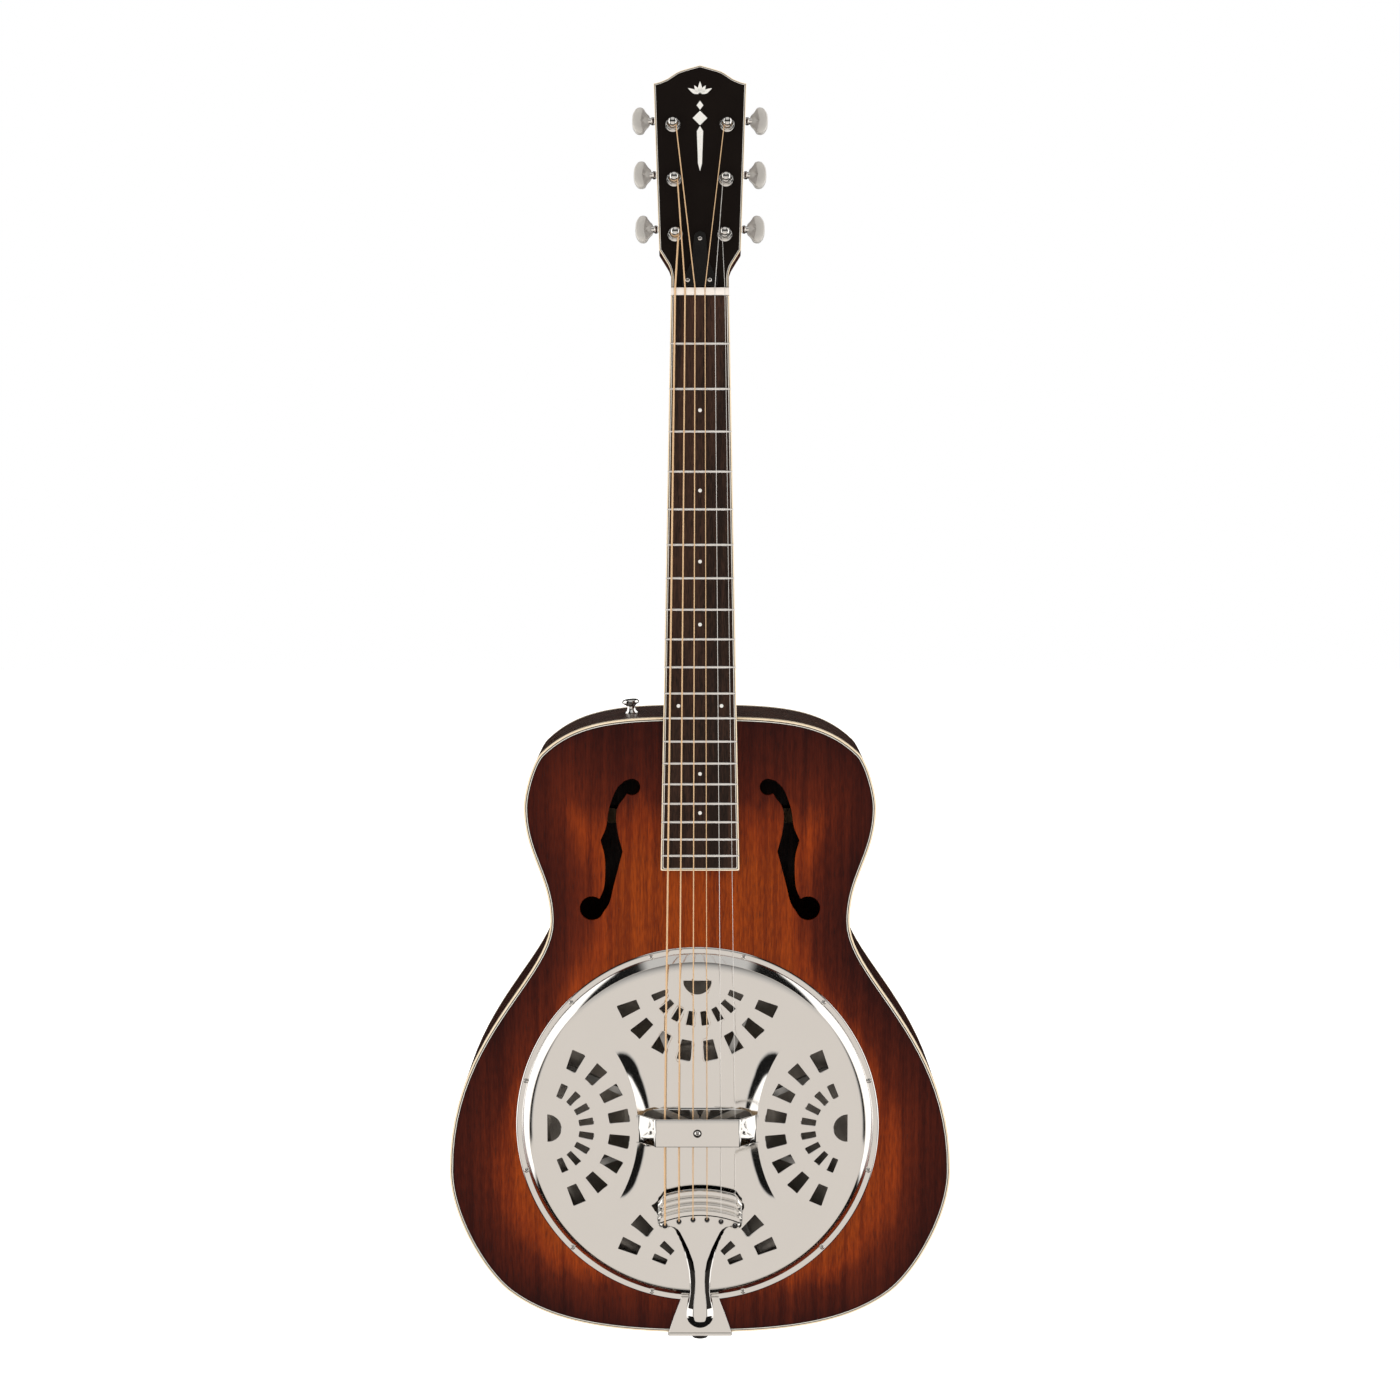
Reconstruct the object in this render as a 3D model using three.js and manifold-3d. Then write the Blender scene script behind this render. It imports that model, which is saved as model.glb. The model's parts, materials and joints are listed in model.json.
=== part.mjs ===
// Resonator guitar standing on its end pin: +Z up the neck, the face towards -Y, +X to the right.
// The origin is the middle of the end pin's lower face. All sizes are in millimetres.
// Depths along Y are counted from the face of the top while the pieces are made, and the whole
// guitar is moved forwards at the end, so that the origin falls under the end pin.
import * as THREE from 'three';
import { mergeVertices } from 'three/addons/utils/BufferGeometryUtils.js';
import Module from 'manifold-3d';

const wasm = await Module();
wasm.setup();

// ---------------------------------------------------------------- driving dimensions
const GAP = 0.3;                      // clearance between pieces that touch

const SCALE_LENGTH = 643;
const FRET_COUNT = 19;
const BODY_FRET = 12;                 // the fret at the body joint
const NECK_SETBACK = 1.5;             // degrees, neck leaning back from the top
const HEAD_TILT = 14;                 // degrees, headstock leaning back from the neck
const HEAD_FACE_DROP = 4.5;           // headstock face behind the fretboard face at the nut

const BODY_LENGTH = 493;
const BODY_DEPTH = 100;
const UPPER_BOUT = 274;
const WAIST = 234;
const LOWER_BOUT = 396;
const TOP_THICKNESS = 3;
const BACK_THICKNESS = 2.8;
const SIDE_THICKNESS = 2.2;
const BINDING_DEPTH = 6;
const LINING_WIDTH = 6.5;
const LINING_DEPTH = 12;
const BLOCK_WALL_CLEARANCE = 1.8;     // room for the curve of the ends behind the flat blocks
const NECK_BLOCK_LENGTH = 52;
const NECK_BLOCK_WIDTH = 70;
const TAIL_BLOCK_LENGTH = 18;
const TAIL_BLOCK_WIDTH = 64;
const BRACE_WIDTH = 12;
const BRACE_HEIGHT = 9;

const PLATE_DIAMETER = 285.8;
const PLATE_CENTRE_DROP = 323.5;      // below the shoulder line of the body
const PLATE_SHIFT = -2;               // cover plate set slightly to the bass side
const PLATE_SHEET = 0.9;
const PLATE_DOME = 8.8;               // height of the dome over the top
const PALM_OPENING_WIDTH = 87;
const PALM_OPENING_LENGTH = 28;
const PALM_REST_WIDTH = 22.3;
const PALM_REST_SPAN = 96;
const PALM_REST_FLAT = 66;
const PALM_REST_SHEET = 1.2;
const PALM_REST_CLEARANCE = 5.5;      // over the strings
const SCREW_HOLE_RADIUS = 3.5;

const PLATE_LAP = 8.9;                // cover plate over the edge of the well
const WELL_WALL = 7;
const WELL_DEPTH = 48;
const LEDGE_DEPTH = 20;
const LEDGE_WIDTH = 8;
const LEDGE_THICKNESS = 6;
const WELL_PORTS = 8;
const CONE_SHEET = 0.8;
const SPIDER_LEGS = 8;
const SPIDER_LEG_WIDTH = 5;
const HUB_LENGTH = 64;
const HUB_WIDTH = 12;
const HUB_FRONT = -7;
const HUB_THICKNESS = 7;
const SADDLE_THICKNESS = 3;
const SADDLE_SEAT = 4.5;
const TENSION_SCREW_RADIUS = 2;
const TENSION_HEAD_RADIUS = 3;

const BOARD_RISE = 1;                 // back of the fretboard over the top at the body joint
const BOARD_THICKNESS = 6;
const BOARD_LENGTH = 440;
const NUT_WIDTH = 44.4;
const BOARD_END_WIDTH = 61;
const BOARD_BINDING = 1.6;
const NUT_LENGTH = 6.3;
const NUT_HEIGHT = 1.4;
const FRET_CROWN_WIDTH = 2.2;
const FRET_CROWN_HEIGHT = 1.3;
const FRET_TANG = 0.6;
const FRET_TANG_DEPTH = 2.4;
const FRET_SPINE_WIDTH = 2;
const NECK_DEPTH_NUT = 15;
const NECK_DEPTH_HEEL = 19;
const HEEL_DEPTH = 88;
const TENON_WIDTH = 20;
const TENON_LENGTH = 16;
const TENON_DEPTH = 62;
const TRUSS_CHANNEL_WIDTH = 6.4;
const TRUSS_CHANNEL_DEPTH = 9.5;
const TRUSS_END = 300;
const TRUSS_NUT_RADIUS = 3.6;

const HEAD_LENGTH = 176.7;
const HEAD_THICKNESS = 15;
const VENEER_THICKNESS = 1.5;
const TRUSS_COVER_LENGTH = 44;
const TRUSS_COVER_WIDTH = 27;
const TRUSS_COVER_THICKNESS = 1.6;

const TUNER_FIRST = 41.9;             // first pair of posts above the nut
const TUNER_PITCH = 43.5;
const TUNER_HALF_SPACING = [18.9, 19.8, 20.9];
const BUTTON_CENTRE = [43.3, 44.7, 46];
const POST_RADIUS = 3;
const POST_WAIST_RADIUS = 2.3;
const POST_HEIGHT = 9.5;
const BUSHING_RADIUS = 4;
const HOUSING_WIDTH = 15;
const HOUSING_DEPTH = 12;
const HOUSING_WALL = 1.2;
const WORM_OFFSET = 11.2;             // button shaft beyond the post, along the headstock
const WORM_RADIUS = 2.6;
const GEAR_RADIUS = 5.2;
const SHAFT_RADIUS = 2;
const BUTTON_SIZE = [13, 7, 21];

const STRING_DIAMETERS = [1.42, 1.14, 0.89, 0.66, 0.43, 0.33];
const STRING_SPAN_NUT = 37.8;
const STRING_SPAN_BRIDGE = 55.2;
const STRING_OVER_BOARD_NUT = 1.7;    // underside of the strings over the fretboard face
const STRING_OVER_BOARD_BRIDGE = 5.5;

const TAIL_TOP_DROP = 372.2;          // top of the string bar below the shoulder line
const TAIL_BAR_LENGTH = 21.4;
const TAIL_BAR_FRONT = -15.5;
const TAIL_HALF_WIDTH = 33;
const TAIL_PLATE_FRONT = -12.4;
const TAIL_PLATE_THICKNESS = 1.8;
const TAIL_HOLE_RADIUS = 2.5;
const TAIL_WAIST = 5.4;
const TAIL_WAIST_DROP = 449.2;
const TAIL_BULB_RADIUS = 10.6;
const TAIL_BULB_DROP = 475.5;
const BRACKET_SHEET = 1.5;
const BRACKET_TOP_WIDTH = 29;
const BRACKET_BOTTOM_WIDTH = 51;
const BRACKET_LAP = 3.6;              // bracket over the edge of the cover plate
const BRACKET_END_LEAF = 62;

const END_PIN_LENGTH = 24;
const END_PIN_RADIUS = 7;
const END_PIN_SHANK_RADIUS = 4;
const STRAP_BUTTON_RADIUS = 6.8;
const STRAP_BUTTON_HEIGHT = 11;
const STRAP_BUTTON_X = -54;
const STRAP_SCREW_RADIUS = 2;

// ---------------------------------------------------------------- derived places
const BODY_BOTTOM_Z = END_PIN_LENGTH;
const BODY_TOP_Z = BODY_BOTTOM_Z + BODY_LENGTH;
const MID_DEPTH = BODY_DEPTH / 2;
const PLATE_Z = BODY_TOP_Z - PLATE_CENTRE_DROP;
const PLATE_RADIUS = PLATE_DIAMETER / 2;
const WELL_RADIUS = PLATE_RADIUS - PLATE_LAP;
const BRACKET_LEAF_TOP_DROP = PLATE_CENTRE_DROP + PLATE_RADIUS - BRACKET_LAP;
const BOARD_HEIGHT = BOARD_THICKNESS + BOARD_RISE;   // face over the top at the body joint
const fretDistance = (n) => SCALE_LENGTH * (1 - 2 ** (-n / 12));
const JOINT_DISTANCE = fretDistance(BODY_FRET);
const below = (drop) => BODY_TOP_Z - drop;
const boardHalfWidth = (distance) =>
  NUT_WIDTH / 2 + ((BOARD_END_WIDTH - NUT_WIDTH) / 2) * (distance / BOARD_LENGTH);

// ---------------------------------------------------------------- frames
const guitar = new THREE.Group();

const neckFrame = new THREE.Group();
const setback = THREE.MathUtils.degToRad(NECK_SETBACK);
neckFrame.rotation.x = -setback;
neckFrame.position.set(
  0,
  -BOARD_HEIGHT + JOINT_DISTANCE * Math.sin(setback),
  BODY_TOP_Z + JOINT_DISTANCE * Math.cos(setback),
);
guitar.add(neckFrame);

const headFrame = new THREE.Group();
headFrame.rotation.x = -THREE.MathUtils.degToRad(HEAD_TILT);
headFrame.position.set(0, HEAD_FACE_DROP, NUT_LENGTH);
neckFrame.add(headFrame);
guitar.updateMatrixWorld(true);

const toWorld = (frame, x, y, z) => new THREE.Vector3(x, y, z).applyMatrix4(frame.matrixWorld);

// ---------------------------------------------------------------- materials
const finish = (color, roughness, metalness) =>
  new THREE.MeshStandardMaterial({ color, roughness, metalness });
const FINISH = {
  burstTop: finish('#8a3d14', 0.35, 0),
  mahogany: finish('#3a1a12', 0.35, 0),
  bareWood: finish('#b08a5c', 0.7, 0),
  binding: finish('#ead9c4', 0.4, 0),
  rosewood: finish('#3a231c', 0.5, 0),
  bone: finish('#efe6da', 0.4, 0),
  blackGloss: finish('#14100f', 0.2, 0),
  chrome: finish('#d6d0c8', 0.12, 1),
  nickelSilver: finish('#cfc8bd', 0.3, 1),
  aluminium: finish('#b9b9b6', 0.4, 1),
  maple: finish('#d9b98a', 0.5, 0),
  steel: finish('#9b9a98', 0.3, 1),
  bronze: finish('#c79a5e', 0.35, 1),
};

// ---------------------------------------------------------------- solid helpers
function signedVolume(geometry) {
  const p = geometry.attributes.position;
  const index = geometry.index;
  const a = new THREE.Vector3();
  const b = new THREE.Vector3();
  const c = new THREE.Vector3();
  let volume = 0;
  for (let i = 0; i < index.count; i += 3) {
    a.fromBufferAttribute(p, index.getX(i));
    b.fromBufferAttribute(p, index.getX(i + 1));
    c.fromBufferAttribute(p, index.getX(i + 2));
    volume += a.dot(b.cross(c)) / 6;
  }
  return volume;
}

// one welded, closed mesh with its faces pointing out
function welded(geometry) {
  const bare = geometry.clone();
  bare.deleteAttribute('normal');
  bare.deleteAttribute('uv');
  const merged = mergeVertices(bare, 1e-4);
  const kept = [];
  const index = merged.index;
  for (let i = 0; i < index.count; i += 3) {
    const [a, b, c] = [index.getX(i), index.getX(i + 1), index.getX(i + 2)];
    if (a !== b && b !== c && c !== a) kept.push(a, b, c);
  }
  merged.setIndex(kept);
  if (signedVolume(merged) < 0) merged.setIndex(kept.reverse());
  return merged;
}

function solid(geometry) {
  const clean = welded(geometry);
  return new wasm.Manifold(new wasm.Mesh({
    numProp: 3,
    vertProperties: new Float32Array(clean.attributes.position.array),
    triVerts: new Uint32Array(clean.index.array),
  }));
}

function geometryOf(manifold) {
  const mesh = manifold.getMesh();
  const geometry = new THREE.BufferGeometry();
  geometry.setAttribute('position', new THREE.BufferAttribute(mesh.vertProperties, 3));
  geometry.setIndex(new THREE.BufferAttribute(mesh.triVerts, 1));
  return geometry;
}

const cut = (piece, ...tools) => geometryOf(tools.reduce((s, t) => s.subtract(solid(t)), solid(piece)));
const join = (...pieces) => geometryOf(pieces.map(solid).reduce((a, b) => a.add(b)));

function place(name, geometry, material, frame = guitar) {
  const mesh = new THREE.Mesh(welded(geometry), material);
  mesh.name = name;
  frame.add(mesh);
  return mesh;
}

// a box from its two extreme corners
function box(low, high) {
  const size = high.map((v, i) => v - low[i]);
  const geometry = new THREE.BoxGeometry(...size);
  return geometry.translate(...low.map((v, i) => v + size[i] / 2));
}

// a shape drawn in x (right) and z (up), made solid between two depths along +Y
function slab(shapes, front, back, curveSegments = 8) {
  const geometry = new THREE.ExtrudeGeometry(shapes, {
    depth: back - front, bevelEnabled: false, curveSegments,
  });
  return geometry.rotateX(Math.PI / 2).translate(0, back, 0);
}

// a profile of [radius, depth] points spun about an axis along Y through (x, z)
function spunY(profile, x, z, segments) {
  const points = profile.map(([r, y]) => new THREE.Vector2(r, y));
  return new THREE.LatheGeometry([...points, points[0]], segments).translate(x, 0, z);
}

function rodY(radius, front, back, x, z, segments = 12) {
  const geometry = new THREE.CylinderGeometry(radius, radius, back - front, segments);
  return geometry.translate(x, (front + back) / 2, z);
}

function rodZ(radius, low, high, x, y, segments = 12) {
  const geometry = new THREE.CylinderGeometry(radius, radius, high - low, segments);
  return geometry.rotateX(Math.PI / 2).translate(x, y, (low + high) / 2);
}

// points as a closed loop in a known direction, whichever way round they were given
function loop(points, clockwise) {
  const vectors = points.map(([x, z]) => new THREE.Vector2(x, z));
  return THREE.ShapeUtils.isClockWise(vectors) === clockwise ? vectors : vectors.reverse();
}

function shapeOf(points, holes = []) {
  const shape = new THREE.Shape(loop(points, false));
  shape.holes.push(...holes.map((hole) => new THREE.Path(loop(hole, true))));
  return shape;
}

const circle = (x, z, radius, count) => Array.from({ length: count }, (_, i) => {
  const a = (Math.PI * 2 * i) / count;
  return [x + radius * Math.cos(a), z + radius * Math.sin(a)];
});
const mirrored = (half) => [...half, ...half.slice().reverse().map(([x, z]) => [-x, z])];

// ---------------------------------------------------------------- body outline
// Each knot: half width, drop below the shoulder line, heading in degrees (0 outwards,
// 90 down), and the lengths of the curve handles before and after it.
const OUTLINE_KNOTS = [
  { x: 0, drop: 0, heading: 0, before: 0, after: 60 },
  { x: UPPER_BOUT / 2 - 14, drop: 28, heading: 44, before: 38, after: 10 },
  { x: UPPER_BOUT / 2, drop: 71, heading: 90, before: 12, after: 37 },
  { x: WAIST / 2, drop: 160, heading: 90, before: 36, after: 46 },
  { x: LOWER_BOUT / 2, drop: 361, heading: 90, before: 109, after: 36 },
  { x: LOWER_BOUT / 2 - 47, drop: BODY_LENGTH - 33, heading: 142, before: 27, after: 44 },
  { x: 0, drop: BODY_LENGTH, heading: 180, before: 64, after: 0 },
];
const SAMPLES_PER_KNOT = 5;

function halfOutline() {
  const points = [];
  const normals = [];
  for (let k = 0; k < OUTLINE_KNOTS.length - 1; k += 1) {
    const from = OUTLINE_KNOTS[k];
    const to = OUTLINE_KNOTS[k + 1];
    const heading = (knot) => new THREE.Vector2(
      Math.cos(THREE.MathUtils.degToRad(knot.heading)),
      Math.sin(THREE.MathUtils.degToRad(knot.heading)),
    );
    const start = new THREE.Vector2(from.x, from.drop);
    const end = new THREE.Vector2(to.x, to.drop);
    const curve = new THREE.CubicBezierCurve(
      start,
      start.clone().addScaledVector(heading(from), from.after),
      end.clone().addScaledVector(heading(to), -to.before),
      end,
    );
    const last = k === OUTLINE_KNOTS.length - 2;
    for (let i = 0; i < SAMPLES_PER_KNOT + (last ? 1 : 0); i += 1) {
      const t = i / SAMPLES_PER_KNOT;
      const tangent = curve.getTangent(t);
      points.push(curve.getPoint(t));
      normals.push(new THREE.Vector2(-tangent.y, tangent.x));
    }
  }
  return { points, normals };
}
const OUTLINE = halfOutline();

// closed outline, moved inwards by inset, as [x, z] points
function outline(inset) {
  const half = OUTLINE.points.map((p, i) => {
    const q = p.clone().addScaledVector(OUTLINE.normals[i], inset);
    return [q.x, below(q.y)];
  });
  return [...half, ...half.slice(1, -1).reverse().map(([x, z]) => [-x, z])];
}

function ring(outerInset, innerInset, front, back) {
  return slab(shapeOf(outline(outerInset), [outline(innerInset)]), front, back);
}

// ---------------------------------------------------------------- sound holes
const F_HOLE = {
  upperLobe: { x: 52.8, drop: 54.4, radius: 5.8 },
  lowerLobe: { x: 84.4, drop: 149.9, radius: 9.4 },
  outerEdge: [[63.5, 55.5], [70.7, 73], [73, 85.7], [77.2, 96.1], [73.4, 112], [75, 137.2]],
  innerEdge: [[71.5, 147], [67.8, 131.8], [60.5, 105.1], [64.7, 84], [63.5, 66.8]],
};

function fHolePath(side) {
  const { upperLobe, lowerLobe, outerEdge, innerEdge } = F_HOLE;
  const lobe = ({ x, drop, radius }, from, to, count) => Array.from({ length: count + 1 }, (_, i) => {
    const a = THREE.MathUtils.degToRad(from + ((to - from) * i) / count);
    return [x + radius * Math.cos(a), drop + radius * Math.sin(a)];
  });
  const points = [
    ...outerEdge,
    ...lobe(lowerLobe, -60, 200, 10),
    ...innerEdge,
    ...lobe(upperLobe, 70, 300, 8),
  ];
  return points.map(([x, drop]) => [side * x, below(drop)]);
}

// ---------------------------------------------------------------- body shell
function makeBody() {
  const plateInset = SIDE_THICKNESS + GAP;
  const openings = [circle(0, PLATE_Z, WELL_RADIUS, 32), fHolePath(-1), fHolePath(1)];
  place('top_plate', slab(shapeOf(outline(plateInset), openings), 0, TOP_THICKNESS), FINISH.burstTop);

  const backFront = BODY_DEPTH - BACK_THICKNESS;
  place('back_plate', slab(shapeOf(outline(plateInset)), backFront, BODY_DEPTH), FINISH.mahogany);

  const rimFront = BINDING_DEPTH + GAP;
  const rimBack = BODY_DEPTH - BINDING_DEPTH - GAP;
  place('top_binding', ring(0, SIDE_THICKNESS, 0, BINDING_DEPTH), FINISH.binding);
  place('back_binding', ring(0, SIDE_THICKNESS, BODY_DEPTH - BINDING_DEPTH, BODY_DEPTH), FINISH.binding);

  const strap = strapButtonFrame();
  const strapDrill = rodZ(STRAP_SCREW_RADIUS + GAP, -12, 12, 0, 0).applyMatrix4(strap.matrix);
  const pinDrill = rodZ(END_PIN_SHANK_RADIUS + GAP, 0, below(BODY_LENGTH - 60), 0, MID_DEPTH);
  const rim = ring(0, SIDE_THICKNESS, rimFront, rimBack);
  place('side_rim', cut(rim, tenonBox(GAP), strapDrill, pinDrill), FINISH.mahogany);

  const innerWall = plateInset + BLOCK_WALL_CLEARANCE;
  const innerFront = TOP_THICKNESS + GAP;
  const innerBack = backFront - GAP;
  const neckBlockBox = (grow) => box(
    [-NECK_BLOCK_WIDTH / 2 - grow, innerFront - grow, below(innerWall + NECK_BLOCK_LENGTH) - grow],
    [NECK_BLOCK_WIDTH / 2 + grow, innerBack + grow, below(innerWall) + grow],
  );
  const tailBlockBox = (grow) => box(
    [-TAIL_BLOCK_WIDTH / 2 - grow, innerFront - grow, BODY_BOTTOM_Z + innerWall - grow],
    [TAIL_BLOCK_WIDTH / 2 + grow, innerBack + grow, BODY_BOTTOM_Z + innerWall + TAIL_BLOCK_LENGTH + grow],
  );
  place('neck_block', cut(neckBlockBox(0), tenonBox(GAP)), FINISH.bareWood);
  place('tail_block', cut(tailBlockBox(0), pinDrill), FINISH.bareWood);

  const lining = (front, back) => ring(plateInset, plateInset + LINING_WIDTH, front, back);
  const clearOfBlocks = (piece) => {
    const rest = solid(piece).subtract(solid(neckBlockBox(2))).subtract(solid(tailBlockBox(2)));
    return rest.decompose();
  };
  const linings = {
    top: clearOfBlocks(lining(innerFront, innerFront + LINING_DEPTH)),
    back: clearOfBlocks(lining(innerBack - LINING_DEPTH, innerBack)),
  };
  for (const [where, halves] of Object.entries(linings)) {
    halves.forEach((half) => {
      const geometry = geometryOf(half);
      geometry.computeBoundingBox();
      const side = geometry.boundingBox.min.x < 0 ? 'bass' : 'treble';
      place(`${where}_lining_${side}`, geometry, FINISH.bareWood);
    });
  }

  const braceAt = (drop) => {
    const nearest = OUTLINE.points.reduce((best, p) =>
      (Math.abs(p.y - drop) < Math.abs(best.y - drop) ? p : best));
    const half = nearest.x - plateInset - LINING_WIDTH - 4;
    return box(
      [-half, innerBack - BRACE_HEIGHT, below(drop) - BRACE_WIDTH / 2],
      [half, innerBack, below(drop) + BRACE_WIDTH / 2],
    );
  };
  place('back_brace_upper', braceAt(OUTLINE_KNOTS[2].drop + 18), FINISH.bareWood);
  place('back_brace_lower', braceAt(PLATE_CENTRE_DROP), FINISH.bareWood);
}

// a frame on the shoulder whose +Z points straight out of the rim
function strapButtonFrame() {
  const { points, normals } = OUTLINE;
  const i = points.findIndex((p) => p.x >= Math.abs(STRAP_BUTTON_X));
  const share = (Math.abs(STRAP_BUTTON_X) - points[i - 1].x) / (points[i].x - points[i - 1].x);
  const foot = points[i - 1].clone().lerp(points[i], share);
  const inwards = normals[i - 1].clone().lerp(normals[i], share).normalize();
  const frame = new THREE.Object3D();
  frame.position.set(-foot.x, MID_DEPTH, below(foot.y));
  frame.rotation.y = -Math.atan2(-inwards.x, inwards.y);
  frame.updateMatrix();
  return frame;
}

// the neck's tenon, which passes the rim and sits in the neck block
function tenonBox(grow) {
  return box(
    [-TENON_WIDTH / 2 - grow, BINDING_DEPTH + 4 - grow, below(TENON_LENGTH) - grow],
    [TENON_WIDTH / 2 + grow, BINDING_DEPTH + 4 + TENON_DEPTH + grow, BODY_TOP_Z + 4],
  );
}

// ---------------------------------------------------------------- resonator
const FLANGE_INNER = PLATE_RADIUS - 5.9;
const DOME_EDGE = PLATE_RADIUS - 11.9;
const PLATE_BACK = -GAP;
const PLATE_FRONT_PROFILE = [
  [PLATE_RADIUS, PLATE_BACK - PLATE_SHEET],
  [FLANGE_INNER, PLATE_BACK - PLATE_SHEET],
  [FLANGE_INNER - 3, PLATE_BACK - PLATE_SHEET - 2.2],
  [DOME_EDGE, -5],
  [DOME_EDGE * 0.5, -5 - (PLATE_DOME - 5) * 0.75],
  [0, -PLATE_DOME],
];

function coverFrontAt(radius) {
  const outer = PLATE_FRONT_PROFILE.findLastIndex(([r]) => r >= radius);
  const [r0, y0] = PLATE_FRONT_PROFILE[outer];
  const [r1, y1] = PLATE_FRONT_PROFILE[outer + 1];
  return y0 + ((y1 - y0) * (r0 - radius)) / (r0 - r1);
}

// one fan of slots: two rings about a point near the rim, and a half-moon at that point
const FAN_CENTRE = PLATE_RADIUS - 23.5;
const FAN_TO_OPENING = 9.5;           // from the outer ring to the opening for the strings
const FAN_REACH = FAN_CENTRE - PALM_OPENING_WIDTH / 2 - FAN_TO_OPENING;
const FAN_SHARE = FAN_REACH / 66.4;   // of the ring sizes below
const FAN_ANGLES = [-66.5, -47.5, -28.5, -9.5, 9.5, 28.5, 47.5, 66.5];
const FAN_RINGS = [
  { radius: 32.4 * FAN_SHARE, length: 11.5 * FAN_SHARE,
    outerWidth: 5.6 * FAN_SHARE, innerWidth: 4.7 * FAN_SHARE },
  { radius: 58.4 * FAN_SHARE, length: 16 * FAN_SHARE,
    outerWidth: 10.7 * FAN_SHARE, innerWidth: 8 * FAN_SHARE },
];
const HALF_MOON_RADIUS = 11 * FAN_SHARE;

function fanShapes(turn) {
  const shapes = [];
  const spin = (x, z) => {
    const a = THREE.MathUtils.degToRad(turn);
    return [x * Math.cos(a) - z * Math.sin(a), x * Math.sin(a) + z * Math.cos(a)];
  };
  const put = (points) => shapes.push(shapeOf(points.map(([x, z]) => spin(x, z))));
  for (const { radius, length, outerWidth, innerWidth } of FAN_RINGS) {
    for (const angle of FAN_ANGLES) {
      const a = THREE.MathUtils.degToRad(angle);
      const corner = (across, along) => [
        FAN_CENTRE - along * Math.cos(a) - across * Math.sin(a),
        -along * Math.sin(a) + across * Math.cos(a),
      ];
      put([
        corner(-innerWidth / 2, radius - length / 2),
        corner(innerWidth / 2, radius - length / 2),
        corner(outerWidth / 2, radius + length / 2),
        corner(-outerWidth / 2, radius + length / 2),
      ]);
    }
  }
  const moon = [];
  for (let i = 0; i <= 8; i += 1) {
    const a = Math.PI / 2 + (Math.PI * i) / 8;
    moon.push([FAN_CENTRE - 1.4 + HALF_MOON_RADIUS * Math.cos(a), HALF_MOON_RADIUS * Math.sin(a)]);
  }
  put(moon);
  return shapes;
}

function makeCover() {
  const back = PLATE_FRONT_PROFILE.slice().reverse().map(([r, y]) => [r, y + PLATE_SHEET]);
  const sheet = spunY([...PLATE_FRONT_PROFILE, ...back], 0, 0, 40);
  const fans = [0, 90, 180, 270].flatMap(fanShapes);
  const halfWidth = PALM_OPENING_WIDTH / 2;
  const halfLength = PALM_OPENING_LENGTH / 2;
  const palmOpening = shapeOf([
    [-halfWidth, -halfLength + 4], [-halfWidth + 8, -halfLength],
    [halfWidth - 8, -halfLength], [halfWidth, -halfLength + 4],
    [halfWidth, halfLength - 4], [halfWidth - 8, halfLength],
    [-halfWidth + 8, halfLength], [-halfWidth, halfLength - 4],
  ]);
  const cover = cut(sheet, slab([...fans, palmOpening], -PLATE_DOME - 2, 2));
  place('cover_plate', cover, FINISH.chrome).position.set(PLATE_SHIFT, 0, PLATE_Z);

  const foot = coverFrontAt(PALM_OPENING_WIDTH / 2) - GAP;
  const crest = stringCentre(0, SCALE_LENGTH).y - STRING_DIAMETERS[0] / 2 - PALM_REST_CLEARANCE;
  const span = PALM_REST_SPAN / 2;
  const flat = PALM_REST_FLAT / 2;
  const section = shapeOf(mirrored([
    [span, foot], [span - 3, foot - PALM_REST_SHEET], [flat, crest - PALM_REST_SHEET],
  ]).concat(mirrored([[-span + 4, foot], [-flat + 1, crest]])));
  const strap = new THREE.ExtrudeGeometry(section, { depth: PALM_REST_WIDTH, bevelEnabled: false });
  strap.translate(0, 0, -PALM_REST_WIDTH / 2);
  const hole = rodY(SCREW_HOLE_RADIUS, crest - 4, crest + 2, 0, 0);
  place('palm_rest', cut(strap, hole), FINISH.chrome).position.set(PLATE_SHIFT, 0, PLATE_Z);
}

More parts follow.
